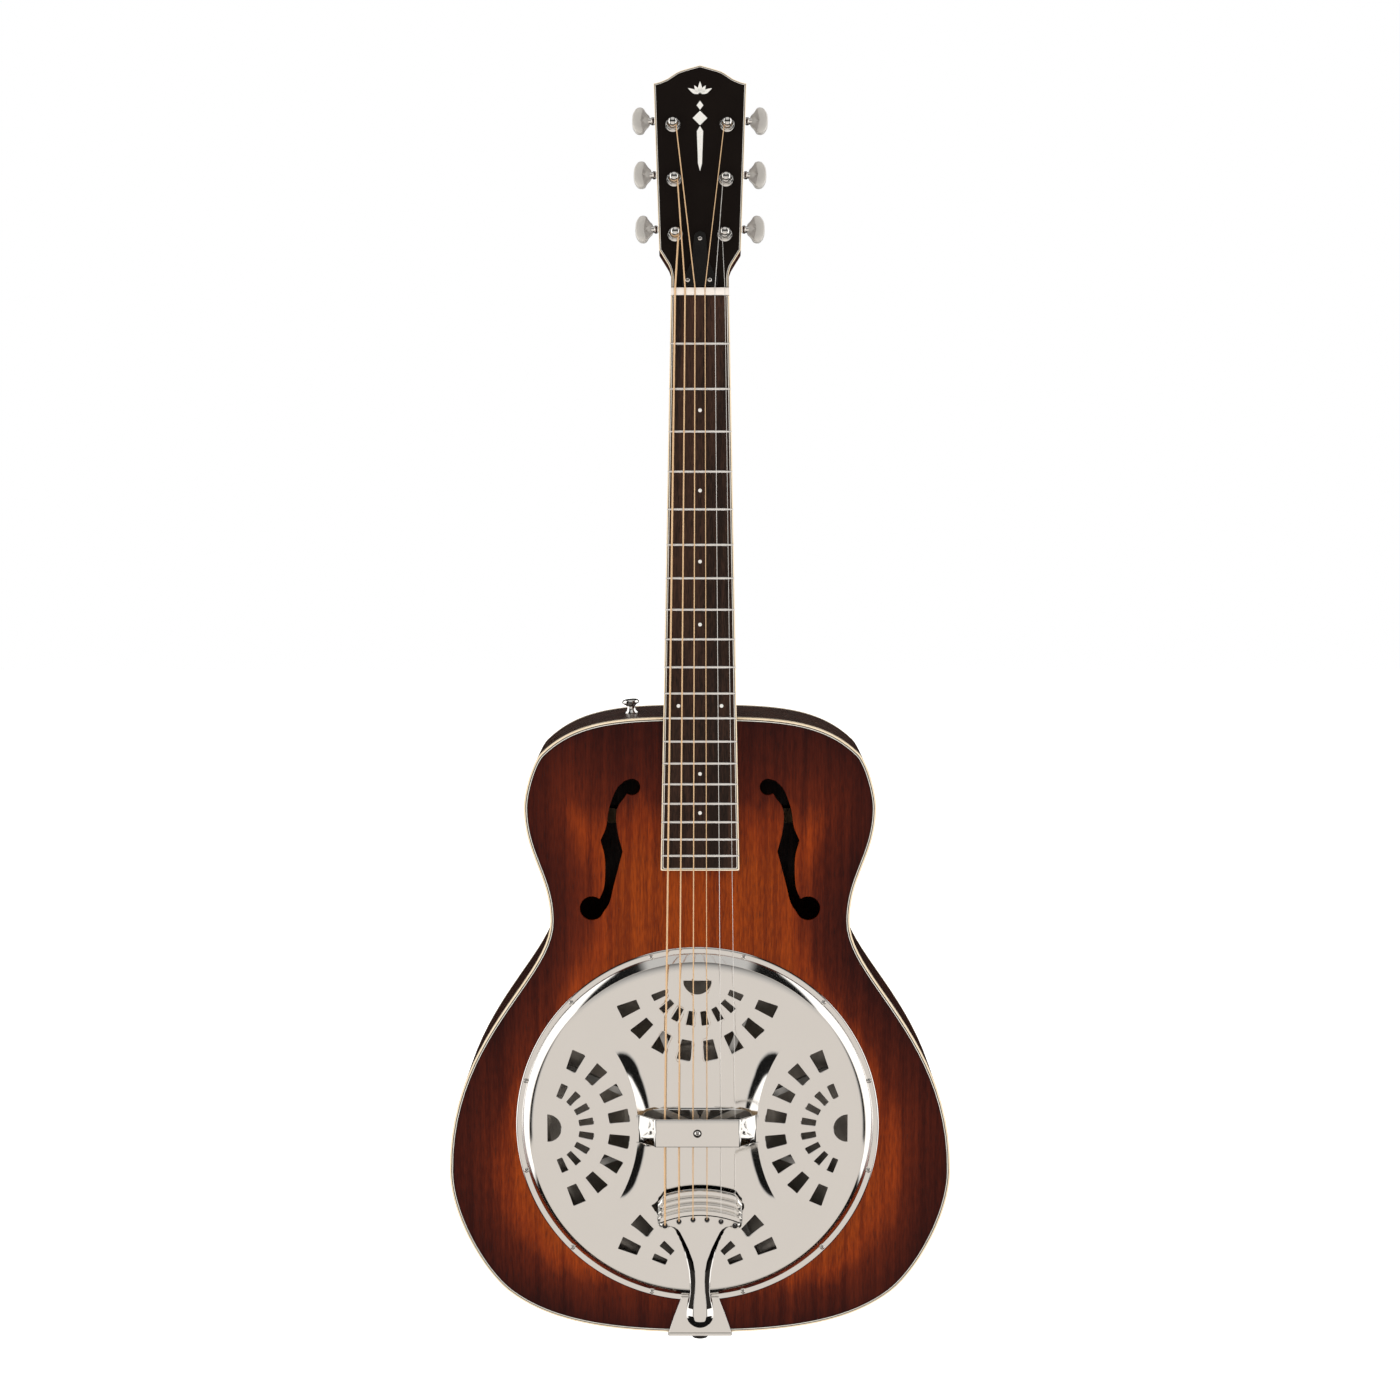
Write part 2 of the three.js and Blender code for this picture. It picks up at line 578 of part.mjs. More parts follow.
function makeResonator() {
  const wellOuter = WELL_RADIUS + WELL_WALL;
  const wellFront = TOP_THICKNESS + GAP;
  const ledgeInner = WELL_RADIUS - LEDGE_WIDTH;
  const wellRing = spunY([
    [WELL_RADIUS, wellFront], [wellOuter, wellFront], [wellOuter, WELL_DEPTH],
    [WELL_RADIUS, WELL_DEPTH], [WELL_RADIUS, LEDGE_DEPTH + LEDGE_THICKNESS],
    [ledgeInner, LEDGE_DEPTH + LEDGE_THICKNESS], [ledgeInner, LEDGE_DEPTH], [WELL_RADIUS, LEDGE_DEPTH],
  ], 0, 0, 32);
  const ports = Array.from({ length: WELL_PORTS / 2 }, (_, i) => {
    const front = LEDGE_DEPTH + LEDGE_THICKNESS + 4;
    const bar = box([-wellOuter - 5, front, -14], [wellOuter + 5, WELL_DEPTH - 4, 14]);
    return bar.rotateY((Math.PI * 2 * i) / WELL_PORTS);
  });
  place('soundwell', cut(wellRing, ...ports), FINISH.bareWood).position.set(0, 0, PLATE_Z);

  const rim = LEDGE_DEPTH - GAP - CONE_SHEET;
  const bore = TENSION_SCREW_RADIUS + 2 * GAP;
  const coneFront = [
    [bore, rim + 5], [14, rim + 6], [56, rim + 24], [64, rim + 24],
    [WELL_RADIUS - 20, rim + 1.5], [WELL_RADIUS - 14, rim], [WELL_RADIUS - 0.7, rim],
  ];
  const coneBack = coneFront.slice().reverse().map(([r, y]) => [r, y + CONE_SHEET]);
  place('resonator_cone', spunY([...coneFront, ...coneBack], 0, PLATE_Z, 32), FINISH.aluminium);

  const legInner = HUB_WIDTH / 2 - 2;
  const legFoot = rim - GAP;
  const footOuter = WELL_RADIUS - 7;
  const legSection = shapeOf([
    [legInner, HUB_FRONT + 2], [14, HUB_FRONT + 2],
    [footOuter - 6, legFoot - 5], [footOuter, legFoot - 5],
    [footOuter, legFoot], [footOuter - 7, legFoot], [legInner, HUB_FRONT + HUB_THICKNESS],
  ]);
  const legs = Array.from({ length: SPIDER_LEGS }, (_, i) => {
    const leg = new THREE.ExtrudeGeometry(legSection, { depth: SPIDER_LEG_WIDTH, bevelEnabled: false });
    return leg.translate(0, 0, -SPIDER_LEG_WIDTH / 2).rotateY((Math.PI * 2 * (i + 0.5)) / SPIDER_LEGS);
  });
  const hub = box(
    [-HUB_LENGTH / 2, HUB_FRONT, -HUB_WIDTH / 2],
    [HUB_LENGTH / 2, HUB_FRONT + HUB_THICKNESS, HUB_WIDTH / 2],
  );
  const seat = box(
    [-HUB_LENGTH, HUB_FRONT - 1, -SADDLE_THICKNESS / 2 - GAP],
    [HUB_LENGTH, HUB_FRONT + SADDLE_SEAT, SADDLE_THICKNESS / 2 + GAP],
  );
  const screwBore = rodY(bore, HUB_FRONT - 2, HUB_FRONT + HUB_THICKNESS + 2, 0, 0);
  place('spider_bridge', cut(join(hub, ...legs), seat, screwBore), FINISH.aluminium)
    .position.set(0, 0, PLATE_Z);

  const saddleTop = stringCentre(0, SCALE_LENGTH).y + STRING_DIAMETERS[0] / 2 + GAP;
  const saddleBack = HUB_FRONT + SADDLE_SEAT - GAP;
  const inner = TENSION_HEAD_RADIUS + 2 * GAP;
  const outer = HUB_LENGTH / 2 - 1;
  const saddle = (from, to) => box(
    [from, saddleTop, -SADDLE_THICKNESS / 2],
    [to, saddleBack, SADDLE_THICKNESS / 2],
  );
  place('saddle_bass', saddle(-outer, -inner), FINISH.maple).position.set(0, 0, PLATE_Z);
  place('saddle_treble', saddle(inner, outer), FINISH.maple).position.set(0, 0, PLATE_Z);

  const screwHead = rodY(TENSION_HEAD_RADIUS, HUB_FRONT - 3, HUB_FRONT - GAP, 0, 0);
  const screwShank = rodY(TENSION_SCREW_RADIUS, HUB_FRONT - 2, rim + 12, 0, 0, 12);
  const slot = box([-4, HUB_FRONT - 4, -0.5], [4, HUB_FRONT - 2, 0.5]);
  place('tension_screw', cut(join(screwHead, screwShank), slot), FINISH.steel)
    .position.set(0, 0, PLATE_Z);
}

// ---------------------------------------------------------------- tailpiece
const tailArcTop = (x) => TAIL_TOP_DROP + (x * x) / 96;
const tailArcLow = (x) => TAIL_TOP_DROP + TAIL_BAR_LENGTH + (x * x) / 160;
const tailHoleDrop = (x) => tailArcLow(x) + TAIL_HOLE_RADIUS + 0.5;
const bridgeX = (i) => STRING_SPAN_BRIDGE * (i / (STRING_DIAMETERS.length - 1) - 0.5);

function makeTailpiece() {
  const steps = 10;
  const across = Array.from({ length: steps + 1 }, (_, i) => TAIL_HALF_WIDTH * ((2 * i) / steps - 1));
  const bar = shapeOf([
    ...across.map((x) => [x, below(tailArcTop(x))]),
    ...across.slice().reverse().map((x) => [x, below(tailArcLow(x))]),
  ]);
  const low = tailArcLow(TAIL_HALF_WIDTH);
  const plate = new THREE.Shape();
  plate.moveTo(-TAIL_HALF_WIDTH, below(low - 8));
  plate.lineTo(TAIL_HALF_WIDTH, below(low - 8));
  plate.lineTo(TAIL_HALF_WIDTH, below(low + 3));
  plate.bezierCurveTo(
    TAIL_HALF_WIDTH - 3, below(low + 11), 22, below(low + 2), 19, below(low + 8),
  );
  plate.bezierCurveTo(12, below(low + 18), TAIL_WAIST, below(low + 34), TAIL_WAIST, below(TAIL_WAIST_DROP));
  plate.lineTo(-TAIL_WAIST, below(TAIL_WAIST_DROP));
  plate.bezierCurveTo(-TAIL_WAIST, below(low + 34), -12, below(low + 18), -19, below(low + 8));
  plate.bezierCurveTo(
    -22, below(low + 2), -TAIL_HALF_WIDTH + 3, below(low + 11), -TAIL_HALF_WIDTH, below(low + 3),
  );
  const plateBack = TAIL_PLATE_FRONT + TAIL_PLATE_THICKNESS;
  const shankFront = TAIL_PLATE_FRONT - 1.6;
  const bracketFront = PLATE_BACK - PLATE_SHEET - GAP - BRACKET_SHEET;
  const shank = shapeOf(mirrored([
    [TAIL_WAIST + 1.2, below(low + 24)], [TAIL_WAIST, below(TAIL_WAIST_DROP)],
    [TAIL_WAIST + 2, below(TAIL_BULB_DROP - 9)],
  ]));
  const bulb = new THREE.Shape();
  bulb.absarc(0, below(TAIL_BULB_DROP), TAIL_BULB_RADIUS, 0, Math.PI * 2, false);
  const joined = join(
    slab(plate, TAIL_PLATE_FRONT, plateBack, 6),
    slab(bar, TAIL_BAR_FRONT, plateBack),
    slab(shank, shankFront, plateBack + 1),
    slab(bulb, shankFront, bracketFront - GAP, 12),
  );
  const holes = STRING_DIAMETERS.map((_, i) =>
    rodY(TAIL_HOLE_RADIUS, TAIL_BAR_FRONT - 2, plateBack + 2,
      bridgeX(i), below(tailHoleDrop(bridgeX(i))), 12));
  place('tailpiece', cut(joined, ...holes), FINISH.chrome);

  const leaf = shapeOf(mirrored([
    [BRACKET_TOP_WIDTH / 2, below(BRACKET_LEAF_TOP_DROP)],
    [BRACKET_TOP_WIDTH / 2 + 3.5, below(BRACKET_LEAF_TOP_DROP + 10)],
    [BRACKET_BOTTOM_WIDTH / 2 - 2.5, below(BODY_LENGTH - 8)],
    [BRACKET_BOTTOM_WIDTH / 2, BODY_BOTTOM_Z - GAP - BRACKET_SHEET],
  ]));
  const endLeaf = box(
    [-BRACKET_BOTTOM_WIDTH / 2, bracketFront, BODY_BOTTOM_Z - GAP - BRACKET_SHEET],
    [BRACKET_BOTTOM_WIDTH / 2, BRACKET_END_LEAF, BODY_BOTTOM_Z - GAP],
  );
  const pinHole = rodZ(END_PIN_SHANK_RADIUS + GAP, 2, BODY_BOTTOM_Z + 2, 0, MID_DEPTH);
  const bracket = join(slab(leaf, bracketFront, bracketFront + BRACKET_SHEET), endLeaf);
  place('tailpiece_bracket', cut(bracket, pinHole), FINISH.chrome);
}

// a turned piece about Z from [radius, height] points
function spunZ(profile, segments) {
  const points = profile.map(([r, z]) => new THREE.Vector2(r, z));
  return new THREE.LatheGeometry([...points, points[0]], segments).rotateX(Math.PI / 2);
}

function makeStrapHardware() {
  const seatZ = BODY_BOTTOM_Z - GAP - BRACKET_SHEET - GAP;
  const tip = BODY_BOTTOM_Z + SIDE_THICKNESS + BLOCK_WALL_CLEARANCE + TAIL_BLOCK_LENGTH + 4;
  const pin = spunZ([
    [0, 0], [END_PIN_RADIUS - 1, 0], [END_PIN_RADIUS, 1], [END_PIN_RADIUS, 4], [4.6, 7],
    [4.6, seatZ - 4], [END_PIN_RADIUS - 0.5, seatZ - 1], [END_PIN_RADIUS - 0.5, seatZ],
    [END_PIN_SHANK_RADIUS, seatZ], [END_PIN_SHANK_RADIUS, tip], [0, tip],
  ], 14);
  place('end_pin', pin, FINISH.blackGloss).position.set(0, MID_DEPTH, 0);

  const height = STRAP_BUTTON_HEIGHT;
  const button = spunZ([
    [0, -10], [STRAP_SCREW_RADIUS, -9], [STRAP_SCREW_RADIUS, GAP], [5.4, GAP], [5.4, 1.3],
    [3.4, 3.5], [3.4, 6], [STRAP_BUTTON_RADIUS, height - 3.2], [STRAP_BUTTON_RADIUS, height - 1.4],
    [STRAP_BUTTON_RADIUS - 1.6, height], [0, height],
  ], 12);
  const mesh = place('strap_button', button, FINISH.chrome);
  const frame = strapButtonFrame();
  mesh.position.copy(frame.position);
  mesh.rotation.copy(frame.rotation);
}

// ---------------------------------------------------------------- neck
// Cross-sections of the neck behind the fretboard: distance from the nut face, depth behind
// the fretboard's back and how full the half-round is.
const NECK_STATIONS = [
  { distance: -NUT_LENGTH - 6, depth: NECK_DEPTH_NUT - 2, fullness: 0.85 },
  { distance: 0, depth: NECK_DEPTH_NUT, fullness: 0.8 },
  { distance: 30, depth: NECK_DEPTH_NUT, fullness: 0.8 },
  { distance: 250, depth: NECK_DEPTH_HEEL - 1, fullness: 0.85 },
  { distance: 275, depth: NECK_DEPTH_HEEL, fullness: 0.9 },
  { distance: 291, depth: NECK_DEPTH_HEEL * 1.5, fullness: 1 },
  { distance: 302, depth: NECK_DEPTH_HEEL * 2.3, fullness: 1.05 },
  { distance: 311, depth: NECK_DEPTH_HEEL * 3.4, fullness: 1.1 },
  { distance: 318, depth: HEEL_DEPTH * 0.92, fullness: 1.1 },
  { distance: 330, depth: HEEL_DEPTH, fullness: 1.1 },
];
const NECK_BACK = BOARD_THICKNESS + GAP;
const NECK_SECTION_STEPS = 10;

function loft(stations) {
  const rings = stations.map(({ distance, depth, fullness }) => {
    const half = boardHalfWidth(Math.max(distance, 0)) - 0.2;
    return Array.from({ length: NECK_SECTION_STEPS + 1 }, (_, i) => {
      const a = (Math.PI * i) / NECK_SECTION_STEPS;
      const c = Math.cos(a);
      const x = half * Math.sign(c) * Math.abs(c) ** fullness;
      return [x, NECK_BACK + depth * Math.sin(a) ** fullness, -distance];
    });
  });
  const count = NECK_SECTION_STEPS + 1;
  const index = [];
  for (let s = 0; s < rings.length - 1; s += 1) {
    for (let i = 0; i < count; i += 1) {
      const a = s * count + i;
      const b = s * count + ((i + 1) % count);
      index.push(a, b, a + count, b, b + count, a + count);
    }
  }
  const lastRing = (rings.length - 1) * count;
  for (let i = 1; i < count - 1; i += 1) {
    index.push(0, i + 1, i);
    index.push(lastRing, lastRing + i, lastRing + i + 1);
  }
  const geometry = new THREE.BufferGeometry();
  geometry.setAttribute('position', new THREE.Float32BufferAttribute(rings.flat(2), 3));
  geometry.setIndex(index);
  return geometry;
}

// half outline of the headstock: half width and height above the nut
const HEAD_OUTLINE = [
  [NUT_WIDTH / 2 - 0.7, 0], [NUT_WIDTH / 2 - 0.6, 9.4], [NUT_WIDTH / 2 + 0.9, 15.9],
  [25.1, 19.9], [31.1, 29.9], [35.6, HEAD_LENGTH - 14.7], [31.4, HEAD_LENGTH - 13.3],
  [25.4, HEAD_LENGTH - 11.2], [21.3, HEAD_LENGTH - 8.4], [15.2, HEAD_LENGTH - 4.2], [0, HEAD_LENGTH],
];

function headShape(bottom) {
  const half = [[HEAD_OUTLINE[0][0], bottom], ...HEAD_OUTLINE.slice(1)];
  const other = half.slice(0, -1).reverse().map(([x, z]) => [-x, z]);
  return shapeOf([...half, ...other]);
}

const tuners = [];
for (let row = 0; row < TUNER_HALF_SPACING.length; row += 1) {
  for (const side of [-1, 1]) {
    tuners.push({
      name: `${side < 0 ? 'bass' : 'treble'}_${row + 1}`,
      side,
      x: side * TUNER_HALF_SPACING[row],
      z: TUNER_FIRST + row * TUNER_PITCH,
      buttonX: side * BUTTON_CENTRE[row],
    });
  }
}

const POCKET_TOP = TRUSS_COVER_LENGTH - 12;

function makeNeck() {
  const shaft = loft(NECK_STATIONS);
  const head = slab(headShape(-8), VENEER_THICKNESS + GAP, HEAD_THICKNESS).applyMatrix4(headFrame.matrix);
  const worldToNeck = neckFrame.matrixWorld.clone().invert();
  const tenon = box(
    [-TENON_WIDTH / 2, BINDING_DEPTH + 4, below(TENON_LENGTH)],
    [TENON_WIDTH / 2, BINDING_DEPTH + 4 + TENON_DEPTH, BODY_TOP_Z + 8],
  ).applyMatrix4(worldToNeck);
  const bodySide = box([-60, -60, BODY_TOP_Z - 60], [60, 160, BODY_TOP_Z + GAP]).applyMatrix4(worldToNeck);
  const boardAndNut = box([-60, -40, -400], [60, NECK_BACK, NUT_LENGTH + GAP]);
  const overFace = box([-60, -30, -30], [60, VENEER_THICKNESS + GAP, HEAD_LENGTH + 10])
    .applyMatrix4(headFrame.matrix);
  const channel = box(
    [-TRUSS_CHANNEL_WIDTH / 2, NECK_BACK - 1, -TRUSS_END],
    [TRUSS_CHANNEL_WIDTH / 2, NECK_BACK + TRUSS_CHANNEL_DEPTH, NUT_LENGTH + 20],
  );
  const pocket = box([-6.5, -3, -2], [6.5, VENEER_THICKNESS + 9, POCKET_TOP]).applyMatrix4(headFrame.matrix);
  const drills = tuners.map(({ x, z }) =>
    rodY(BUSHING_RADIUS + GAP, -4, HEAD_THICKNESS + 4, x, z).applyMatrix4(headFrame.matrix));
  const wood = solid(cut(join(shaft, head), bodySide, boardAndNut, overFace, channel, pocket, ...drills));
  place('neck', geometryOf(wood.add(solid(tenon))), FINISH.mahogany, neckFrame);

  const veneerFoot = GAP + 0.4;
  const pocketInVeneer = box([-6.5, -3, -2], [6.5, 5, POCKET_TOP]);
  const veneerDrills = tuners.map(({ x, z }) => rodY(BUSHING_RADIUS + GAP, -4, 6, x, z));
  place(
    'headstock_veneer',
    cut(slab(headShape(veneerFoot), 0, VENEER_THICKNESS), pocketInVeneer, ...veneerDrills),
    FINISH.blackGloss,
    headFrame,
  );

  const coverHalf = TRUSS_COVER_WIDTH / 2;
  const cover = shapeOf([
    [-coverHalf, 0.8], [coverHalf, 0.8], [coverHalf, 8], [9, 14],
    [5.5, 34], [4.5, 40], [0, TRUSS_COVER_LENGTH],
    [-4.5, 40], [-5.5, 34], [-9, 14], [-coverHalf, 8],
  ]);
  place('truss_rod_cover', slab(cover, -TRUSS_COVER_THICKNESS - GAP, -GAP), FINISH.blackGloss, headFrame);

  const rodFront = NECK_BACK + GAP;
  const rodHalf = TRUSS_CHANNEL_WIDTH / 2 - GAP;
  const rodAxis = NECK_BACK + TRUSS_CHANNEL_DEPTH / 2 + 0.6;
  const bar = box(
    [-rodHalf, rodFront, -TRUSS_END + 2],
    [rodHalf, NECK_BACK + TRUSS_CHANNEL_DEPTH - GAP, NUT_LENGTH - 2],
  );
  place('truss_rod', cut(bar, rodZ(2, -20, NUT_LENGTH, 0, rodAxis)), FINISH.steel, neckFrame);
  const nutBody = rodZ(TRUSS_NUT_RADIUS, NUT_LENGTH + 0.6, NUT_LENGTH + 11, 0, 0, 6);
  const stub = rodZ(1.5, -14, NUT_LENGTH + 2, 0, 0, 10);
  const socket = rodZ(1.8, NUT_LENGTH + 5, NUT_LENGTH + 13, 0, 0, 6);
  place('truss_nut', cut(join(nutBody, stub), socket), FINISH.steel, neckFrame).position.y = rodAxis;

  const nut = box(
    [-NUT_WIDTH / 2, -NUT_HEIGHT, GAP],
    [NUT_WIDTH / 2, BOARD_THICKNESS, NUT_LENGTH - GAP],
  );
  place('nut', nut, FINISH.bone, neckFrame);
}

function makeFretboard() {
  const inset = BOARD_BINDING + GAP;
  const boardEnd = BOARD_LENGTH - inset;
  const board = slab(shapeOf([
    [-boardHalfWidth(0) + inset, 0], [-boardHalfWidth(boardEnd) + inset, -boardEnd],
    [boardHalfWidth(boardEnd) - inset, -boardEnd], [boardHalfWidth(0) - inset, 0],
  ]), 0, BOARD_THICKNESS);
  const numbers = Array.from({ length: FRET_COUNT }, (_, i) => i + 1);
  const slots = numbers.map((n) => {
    const d = fretDistance(n);
    return box([-40, -1, -d - FRET_TANG / 2 - GAP], [40, FRET_TANG_DEPTH + GAP, -d + FRET_TANG / 2 + GAP]);
  });
  const first = fretDistance(1);
  const last = fretDistance(FRET_COUNT);
  const spineHalf = FRET_SPINE_WIDTH / 2;
  const channel = box([-spineHalf - GAP, 1.2, -last - 1], [spineHalf + GAP, BOARD_THICKNESS + 1, -first + 1]);
  place('fretboard', cut(board, ...slots, channel), FINISH.rosewood, neckFrame);

  const outer = [
    [-boardHalfWidth(0), 0], [-boardHalfWidth(BOARD_LENGTH), -BOARD_LENGTH],
    [boardHalfWidth(BOARD_LENGTH), -BOARD_LENGTH], [boardHalfWidth(0), 0],
  ];
  const innerEnd = BOARD_LENGTH - BOARD_BINDING;
  const inner = [
    [boardHalfWidth(0) - BOARD_BINDING, 0], [boardHalfWidth(innerEnd) - BOARD_BINDING, -innerEnd],
    [-boardHalfWidth(innerEnd) + BOARD_BINDING, -innerEnd], [-boardHalfWidth(0) + BOARD_BINDING, 0],
  ];
  const edging = slab(shapeOf([...outer, ...inner]), 0, BOARD_THICKNESS);
  place('fretboard_binding', edging, FINISH.binding, neckFrame);

  const frets = numbers.map((n) => {
    const d = fretDistance(n);
    const half = FRET_CROWN_WIDTH / 2;
    const crown = new THREE.Shape([
      [-half, -GAP], [half, -GAP], [half * 0.6, -FRET_CROWN_HEIGHT], [-half * 0.6, -FRET_CROWN_HEIGHT],
    ].map(([z, y]) => new THREE.Vector2(z, y)));
    const reach = boardHalfWidth(d) - 0.3;
    const bar = new THREE.ExtrudeGeometry(crown, { depth: reach * 2, bevelEnabled: false });
    bar.rotateY(Math.PI / 2).translate(-reach, 0, -d);
    const tangReach = boardHalfWidth(d) - inset - 0.5;
    const tang = box(
      [-tangReach, -0.6, -d - FRET_TANG / 2],
      [tangReach, FRET_TANG_DEPTH, -d + FRET_TANG / 2],
    );
    return solid(bar).add(solid(tang));
  });
  const spine = solid(box([-spineHalf, 1.5, -last], [spineHalf, 4.5, -first]));
  place('frets', geometryOf(frets.reduce((a, b) => a.add(b), spine)), FINISH.nickelSilver, neckFrame);

  const endY = toWorld(neckFrame, 0, BOARD_THICKNESS, -BOARD_LENGTH);
  const jointY = toWorld(neckFrame, 0, BOARD_THICKNESS, -JOINT_DISTANCE - 3);
  const section = new THREE.Shape([
    [-GAP, jointY.z], [-GAP, endY.z + 1], [endY.y + GAP, endY.z + 1], [jointY.y + GAP, jointY.z],
  ].map(([y, z]) => new THREE.Vector2(z, y)));
  const half = boardHalfWidth(JOINT_DISTANCE) - 1;
  const wedge = new THREE.ExtrudeGeometry(section, { depth: half * 2, bevelEnabled: false });
  wedge.rotateY(-Math.PI / 2).translate(half, 0, 0);
  place('fretboard_wedge', wedge, FINISH.blackGloss);
}

// ---------------------------------------------------------------- tuners
function makeTuner({ name, side, x, z, buttonX }) {
  const back = HEAD_THICKNESS + GAP;
  const half = HOUSING_WIDTH / 2;
  const wall = HOUSING_WALL;
  const top = WORM_OFFSET + half - 1;
  const shell = box([-half, back, -half], [half, back + HOUSING_DEPTH, top]);
  const cavity = box(
    [-half + wall, back + wall, -half + wall],
    [half - wall, back + HOUSING_DEPTH - wall, top - wall],
  );
  const bushing = rodY(BUSHING_RADIUS, -2, back + 0.5, 0, 0);
  const hexNut = new THREE.CylinderGeometry(5.6, 5.6, 2.2, 6).translate(0, -GAP - 1.1, 0);
  const bore = rodY(POST_RADIUS + GAP, -6, back + 3, 0, 0);
  const shaftY = back + HOUSING_DEPTH / 2;
  const shaftHole = new THREE.CylinderGeometry(SHAFT_RADIUS + GAP, SHAFT_RADIUS + GAP, half, 12)
    .rotateZ(Math.PI / 2).translate(side * half, shaftY, WORM_OFFSET);
  const housing = cut(join(shell, bushing, hexNut), cavity, bore, shaftHole);
  place(`tuner_housing_${name}`, housing, FINISH.chrome, headFrame)
    .position.set(x, 0, z);

  const gearFront = back + wall + 1;
  const gearBack = back + HOUSING_DEPTH - wall - 1;
  const post = spunY([
    [0, -POST_HEIGHT], [POST_RADIUS, -POST_HEIGHT + 0.6],
    [POST_RADIUS, -POST_HEIGHT + 2], [POST_WAIST_RADIUS, -POST_HEIGHT + 2.6],
    [POST_WAIST_RADIUS, -POST_HEIGHT + 6], [POST_RADIUS, -POST_HEIGHT + 6.8],
    [POST_RADIUS, gearFront], [GEAR_RADIUS, gearFront], [GEAR_RADIUS, gearBack], [0, gearBack],
  ], 0, 0, 10);
  place(`tuner_post_${name}`, post, FINISH.chrome, headFrame).position.set(x, 0, z);

  const reach = Math.abs(buttonX) - Math.abs(x);
  const rodX = (radius, from, to, segments) => new THREE.CylinderGeometry(radius, radius, to - from, segments)
    .rotateZ(Math.PI / 2).translate((side * (from + to)) / 2, 0, 0);
  const worm = rodX(WORM_RADIUS, -half + wall + 0.6, half - wall - 0.6, 8);
  const shaft = rodX(SHAFT_RADIUS, 0, reach, 8);
  const knob = new THREE.SphereGeometry(0.5, 10, 6).scale(...BUTTON_SIZE).translate(side * reach, 0, 0);
  place(`tuner_button_${name}`, join(worm, shaft, knob), FINISH.chrome, headFrame)
    .position.set(x, shaftY, z + WORM_OFFSET);
}

// ---------------------------------------------------------------- strings
// centre of a string at a distance from the nut, in the world frame
function stringCentre(i, distance) {
  const share = distance / SCALE_LENGTH;
  const nutX = STRING_SPAN_NUT * (i / (STRING_DIAMETERS.length - 1) - 0.5);
  const x = nutX + (bridgeX(i) - nutX) * share;
  const lift = STRING_OVER_BOARD_NUT + (STRING_OVER_BOARD_BRIDGE - STRING_OVER_BOARD_NUT) * share;
  return toWorld(neckFrame, x, -lift - STRING_DIAMETERS[i] / 2, -distance);
}

// a curve through a list of points, one step of the sweep for each of them
class Route extends THREE.Curve {
  constructor(points) {
    super();
    this.points = points;
  }

  getUtoTmapping(u) {
    return u;
  }

  getPoint(t, target = new THREE.Vector3()) {
    const at = Math.min(Math.max(t, 0), 1) * (this.points.length - 1);
    const i = Math.min(Math.floor(at), this.points.length - 2);
    return target.lerpVectors(this.points[i], this.points[i + 1], at - i);
  }
}

// posts of the strings from the lowest to the highest: up the bass side, down the treble side
const STRING_POSTS = ['bass_1', 'bass_2', 'bass_3', 'treble_3', 'treble_2', 'treble_1'];
const WRAP_STEPS = 10;
const WRAP_STEP_DEGREES = 45;

function stringRoute(i) {
  const radius = STRING_DIAMETERS[i] / 2;
  const { x, z, side } = tuners.find(({ name }) => name === STRING_POSTS[i]);
  const wrapRadius = POST_WAIST_RADIUS + radius + 0.7;
  const wrap = Array.from({ length: WRAP_STEPS }, (_, k) => {
    const turn = THREE.MathUtils.degToRad(WRAP_STEP_DEGREES * (WRAP_STEPS - 1 - k));
    const rise = -POST_HEIGHT + 3 + radius + ((2.6 - 2 * radius) * k) / WRAP_STEPS;
    return toWorld(headFrame, x - side * wrapRadius * Math.cos(turn), rise, z + wrapRadius * Math.sin(turn));
  });
  const bx = bridgeX(i);
  const barFront = TAIL_BAR_FRONT - GAP - radius;
  const onTail = (drop, y) => new THREE.Vector3(bx, y, below(drop));
  return [
    ...wrap,
    stringCentre(i, -NUT_LENGTH),
    stringCentre(i, 0),
    stringCentre(i, SCALE_LENGTH),
    onTail(tailArcTop(bx) - 0.5, barFront),
    onTail(tailArcLow(bx) + 0.3 + radius, barFront),
    onTail(tailHoleDrop(bx), TAIL_PLATE_FRONT - 1),
    onTail(tailHoleDrop(bx), TAIL_PLATE_FRONT + TAIL_PLATE_THICKNESS + 0.8),
  ];
}

function makeStrings() {
  STRING_DIAMETERS.forEach((diameter, i) => {
    const section = new THREE.Shape();
    section.absarc(0, 0, diameter / 2, 0, Math.PI * 2, false);
    const route = new Route(stringRoute(i));
    const cord = new THREE.ExtrudeGeometry(section, {
      steps: route.points.length - 1, extrudePath: route, bevelEnabled: false, curveSegments: 4,
    });
    place(`string_${STRING_DIAMETERS.length - i}`, cord, i < 4 ? FINISH.bronze : FINISH.steel);
  });
}

// ---------------------------------------------------------------- the guitar
makeBody();
makeResonator();
makeCover();
makeTailpiece();
makeStrapHardware();
makeNeck();
makeFretboard();
tuners.forEach(makeTuner);
makeStrings();
guitar.position.y = -MID_DEPTH;

export default guitar;
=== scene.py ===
import json
import math

import bmesh
import bpy
import numpy as np
from bpy.props import FloatProperty, FloatVectorProperty, IntProperty, PointerProperty
from mathutils import Matrix, Vector
from mathutils.geometry import delaunay_2d_cdt


